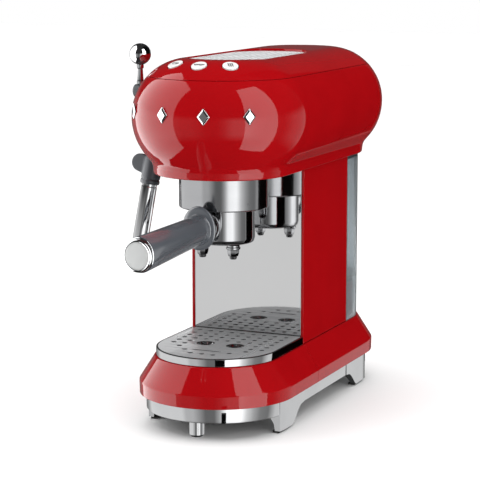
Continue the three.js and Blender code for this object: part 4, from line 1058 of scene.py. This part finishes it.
sections = [(guard + 0.3, 13.0, 17.6, 15.6), (guard + 0.6, 13.9, 18.5, 16.5), (guard + 1.3, 14.5, 19, 17),
            (guard + 2.3, 14.5, 19, 17), (guard + 3.0, 13.9, 18.5, 16.5), (guard + 3.3, 12.9, 17.4, 15.4),
            (guard + 3.5, 11.4, 12.9, 12.9), (guard + 4.4, 10.7, 12.2, 12.2), (guard + 8, 10.5, 11.9, 11.9)]
for k in range(1, 9):
    t = k / 8
    half = 12 + 2 * t ** 1.15
    sections.append((guard + 8 + (grip_end - guard - 9.2) * t, half * SLIM, half, half))
sections += [(grip_end - 0.5, 13.9 * SLIM, 13.9, 13.9), (grip_end, 13.2 * SLIM, 13.2, 13.2)]
on_handle("grip_plastic", sections, GREY, ("handle_grip",))

# The end of the handle, as distance past the grip and half-height.
END_PIECES = (
    ("grip_groove", ((0.3, 11), (2.5, 11)), SLIM, BLACK, (), "black_plastic", 32),
    ("cap_ring", ((2.3, 11.6), (2.4, 12.3), (2.8, 12.7), (3.6, 12.8), (4.1, 12.6), (4.5, 12.1), (4.7, 11.5),
                  (4.5, 11.1)), CAP_SLIM, CHROME, ("handle_cap",), "chrome", 40),
    ("grip_ring", ((-0.3, 12.6), (-0.2, 13.4), (0.2, 13.6), (0.5, 13.4), (0.7, 12.8), (0.6, 11.0)), SLIM,
     CHROME, (), "chrome", 40),
    ("cap_disc", ((3.4, 10.8), (4.5, 10.8), (4.75, 10.4), (4.85, 9.3)), CAP_SLIM, CAP, (), "chrome", 40),
)
for name, outline, slim, material, nodes, slot, sharp in END_PIECES:
    on_handle(name, [(cap_start + a, r * slim, r, r) for a, r in outline], material, nodes, sharp)

# ---- steam lever

lever_x, lever_y = (ball_low.x + ball_high.x) / 2, (ball_low.y + ball_high.y) / 2
ball_z, ball_r = (ball_low.z + ball_high.z) / 2, (ball_high.x - ball_low.x) / 2
hub_z = (hub_low.z + hub_high.z) / 2
made = lathe(arc(0, ball_z, ball_r, -90, 90, 48), lever_x, lever_y, 72)
placed("lever_ball_chrome", made, GROUP_CHROME, "steam_lever", ("lever_ball",))
made = lathe(eased([
    (0, stem_low.z), (3.2, stem_low.z), (3.2, stem_low.z + 2.4), (2.7, stem_low.z + 3),
    (2.1, stem_high.z - 3), (2.9, stem_high.z - 2.2), (2.9, stem_high.z + 0.6), (0, stem_high.z + 0.6),
], [0, 0.4, 0.4, 0.3, 0.4, 0.4, 0.3, 0], 4), lever_x, lever_y, 40)
placed("lever_stem_chrome", made, GROUP_CHROME, "steam_lever", ("lever_stem",))
hub_r = (hub_high.z - hub_low.z) / 2
lever_frame = Matrix.Translation((lever_x, lever_y, hub_z)) @ Matrix.Rotation(radians(90), 4, "Y")
knuckle = lathe(eased([(0, -5.3), (hub_r, -5.3), (hub_r, 5.3), (0, 5.3)], [0, 1.6, 1.6, 0], 6), steps=56)
shaft_end = hub_high.x - lever_x
shaft = lathe([(0, 4), (3, 4), (3, shaft_end), (0, shaft_end)], steps=32)
skin = upper_r + math.sqrt(upper_arc ** 2 - (hub_z - head_middle) ** 2)
boss_start = -skin - 5.5 - lever_x
boss = lathe(eased([(0, boss_start), (4.8, boss_start), (4.8, boss_start + 3.8), (0, boss_start + 3.8)],
                   [0, 0.8, 0.4, 0], 4), steps=48)
hub = joined(*[cleaned(moved(made, lever_frame)) for made in (knuckle, shaft, boss)])
placed("lever_hub_dark", hub, DARK_GREY, "steam_lever", ("lever_hub",), clean=False)

# ---- steam wand

wand = (socket_low + socket_high) / 2
lean = Vector((-math.tan(radians(7)), -math.tan(radians(8)), -1))
wand_frame = Matrix.Translation(wand) @ Vector((0, 0, -1)).rotation_difference(lean).to_matrix().to_4x4()
made = moved(lathe(arc(0, 0, 5.4, -90, 90, 24), steps=40), Matrix.Translation(wand))
placed("wand_ball_chrome", made, CHROME, "wand_swivel", ("wand_ball",))
grip_r, grip_low = 8.2, -19.5
crown = lathe(arc(0, -0.6, grip_r - 0.25, 90, 0, 16) + eased([
    (grip_r - 0.2, -3), (grip_r - 0.1, grip_low + 5), (grip_r - 0.9, grip_low + 4.4),
    (grip_r - 0.9, grip_low + 4), (grip_r, grip_low + 3.6), (grip_r, grip_low + 1), (grip_r - 0.6, grip_low),
    (0, grip_low),
], [0, 0.2, 0.2, 0.2, 0.3, 0.5, 0.5, 0], 3))
TAB_R, TAB_REACH, TAB_HALF, TAB_TILT = 7.5, 8.5, 2.4, 75
outline = [(TAB_R, 0.0), (-TAB_R, 0.0)]
outline += [(-dx, TAB_REACH + dy) for dx, dy in (polar(TAB_R, a) for a in range(0, 181, 12))]
tab = rings_mesh([[(x, y, z) for x, y in outline] for z in (-TAB_HALF, TAB_HALF)], caps=True)
moved(tab, Matrix.Translation((-3.2, 0, -5)) @ Matrix.Rotation(radians(-TAB_TILT), 4, "Y")
      @ Matrix.Rotation(radians(90), 4, "X"))
both = joined(*[cleaned(moved(made, wand_frame)) for made in (crown, tab)])
grip = placed("wand_grip_plastic", both, DARK_GREY, "steam_wand", ("wand_grip",), clean=False)
remesh = grip.modifiers.new("union", "REMESH")
remesh.mode = "VOXEL"
remesh.voxel_size = 0.35 / MM
smooth = grip.modifiers.new("soften", "SMOOTH")
smooth.factor, smooth.iterations = 0.6, 12
evaluated(grip)
grip.data.polygons.foreach_set("use_smooth", [True] * len(grip.data.polygons))
made = lathe(eased([
    (0, grip_low + 0.5), (6.4, grip_low + 0.5), (6.4, grip_low - 2), (6.7, grip_low - 2.6),
    (6.7, grip_low - 55.5), (5.6, grip_low - 57.3), (0, grip_low - 57.3),
], [0, 0, 0.3, 0.3, 0.8, 0.6, 0], 4), steps=72)
placed("wand_tube_chrome", moved(made, wand_frame), CHROME, "steam_wand", ("wand_tube",))
made = lathe(eased([
    (0, grip_low - 57), (4.6, grip_low - 57), (4.6, grip_low - 64), (2.6, grip_low - 67.6),
    (1, grip_low - 67.6), (1, grip_low - 65), (0, grip_low - 65),
], [0, 0.2, 0.8, 0.4, 0.2, 0, 0], 4), steps=56)
placed("wand_nozzle_chrome", moved(made, wand_frame), DARK_CHROME, "steam_wand", ("wand_nozzle",))

# ---- which lights meet which pieces

# The two front softboxes leave the steel alone, and the rear one meets only the flat sheets.
SHEETS = ("grate_sheet", "grate_dishes", "warmer_sheet")
STEEL = SHEETS + (
    "collar_brushed", "holder_chrome", "spouts_chrome", "ferrule_chrome", "splash_panel_fine",
    "plinth_chrome", "front_foot_chrome", "grate_rim", "cap_disc", "wand_tube_chrome", "lever_stem_chrome",
)
boxed = bpy.data.collections.new("boxed")
sheets = bpy.data.collections.new("sheets")
for name, piece in bpy.data.objects.items():
    if piece.type != "MESH":
        continue
    if name in SHEETS:
        sheets.objects.link(piece)
    if name not in STEEL:
        boxed.objects.link(piece)
for light in (left_box, right_box):
    light.light_linking.receiver_collection = boxed
top_box.light_linking.receiver_collection = sheets

# ---- carried-over CAD pieces

CARRIED = (
    (BLACK, "base_plate", "head_floor", "tank_valve"),
    (RUBBER, "leg_pad_front_left", "leg_pad_front_right", "leg_pad_rear_left", "leg_pad_rear_right",
     "group_gasket", "pump_mount"),
    (SHEET_BRUSHED, "shower_screen", "filter_basket"),
    (CHROME, "shower_screw", "steam_pipe", "steam_socket"),
    (CAST, "thermoblock", "pump"),
    (BRASS, "steam_valve"),
    (BOARD, "control_board", "button_board"),
    (HOSE, "suction_hose", "pressure_hose"),
)
for material, *names in CARRIED:
    for name in names:
        mesh = frame["nodes"][name].data
        for index in range(len(mesh.materials)):
            mesh.materials[index] = material
        if not mesh.materials:
            mesh.materials.append(material)
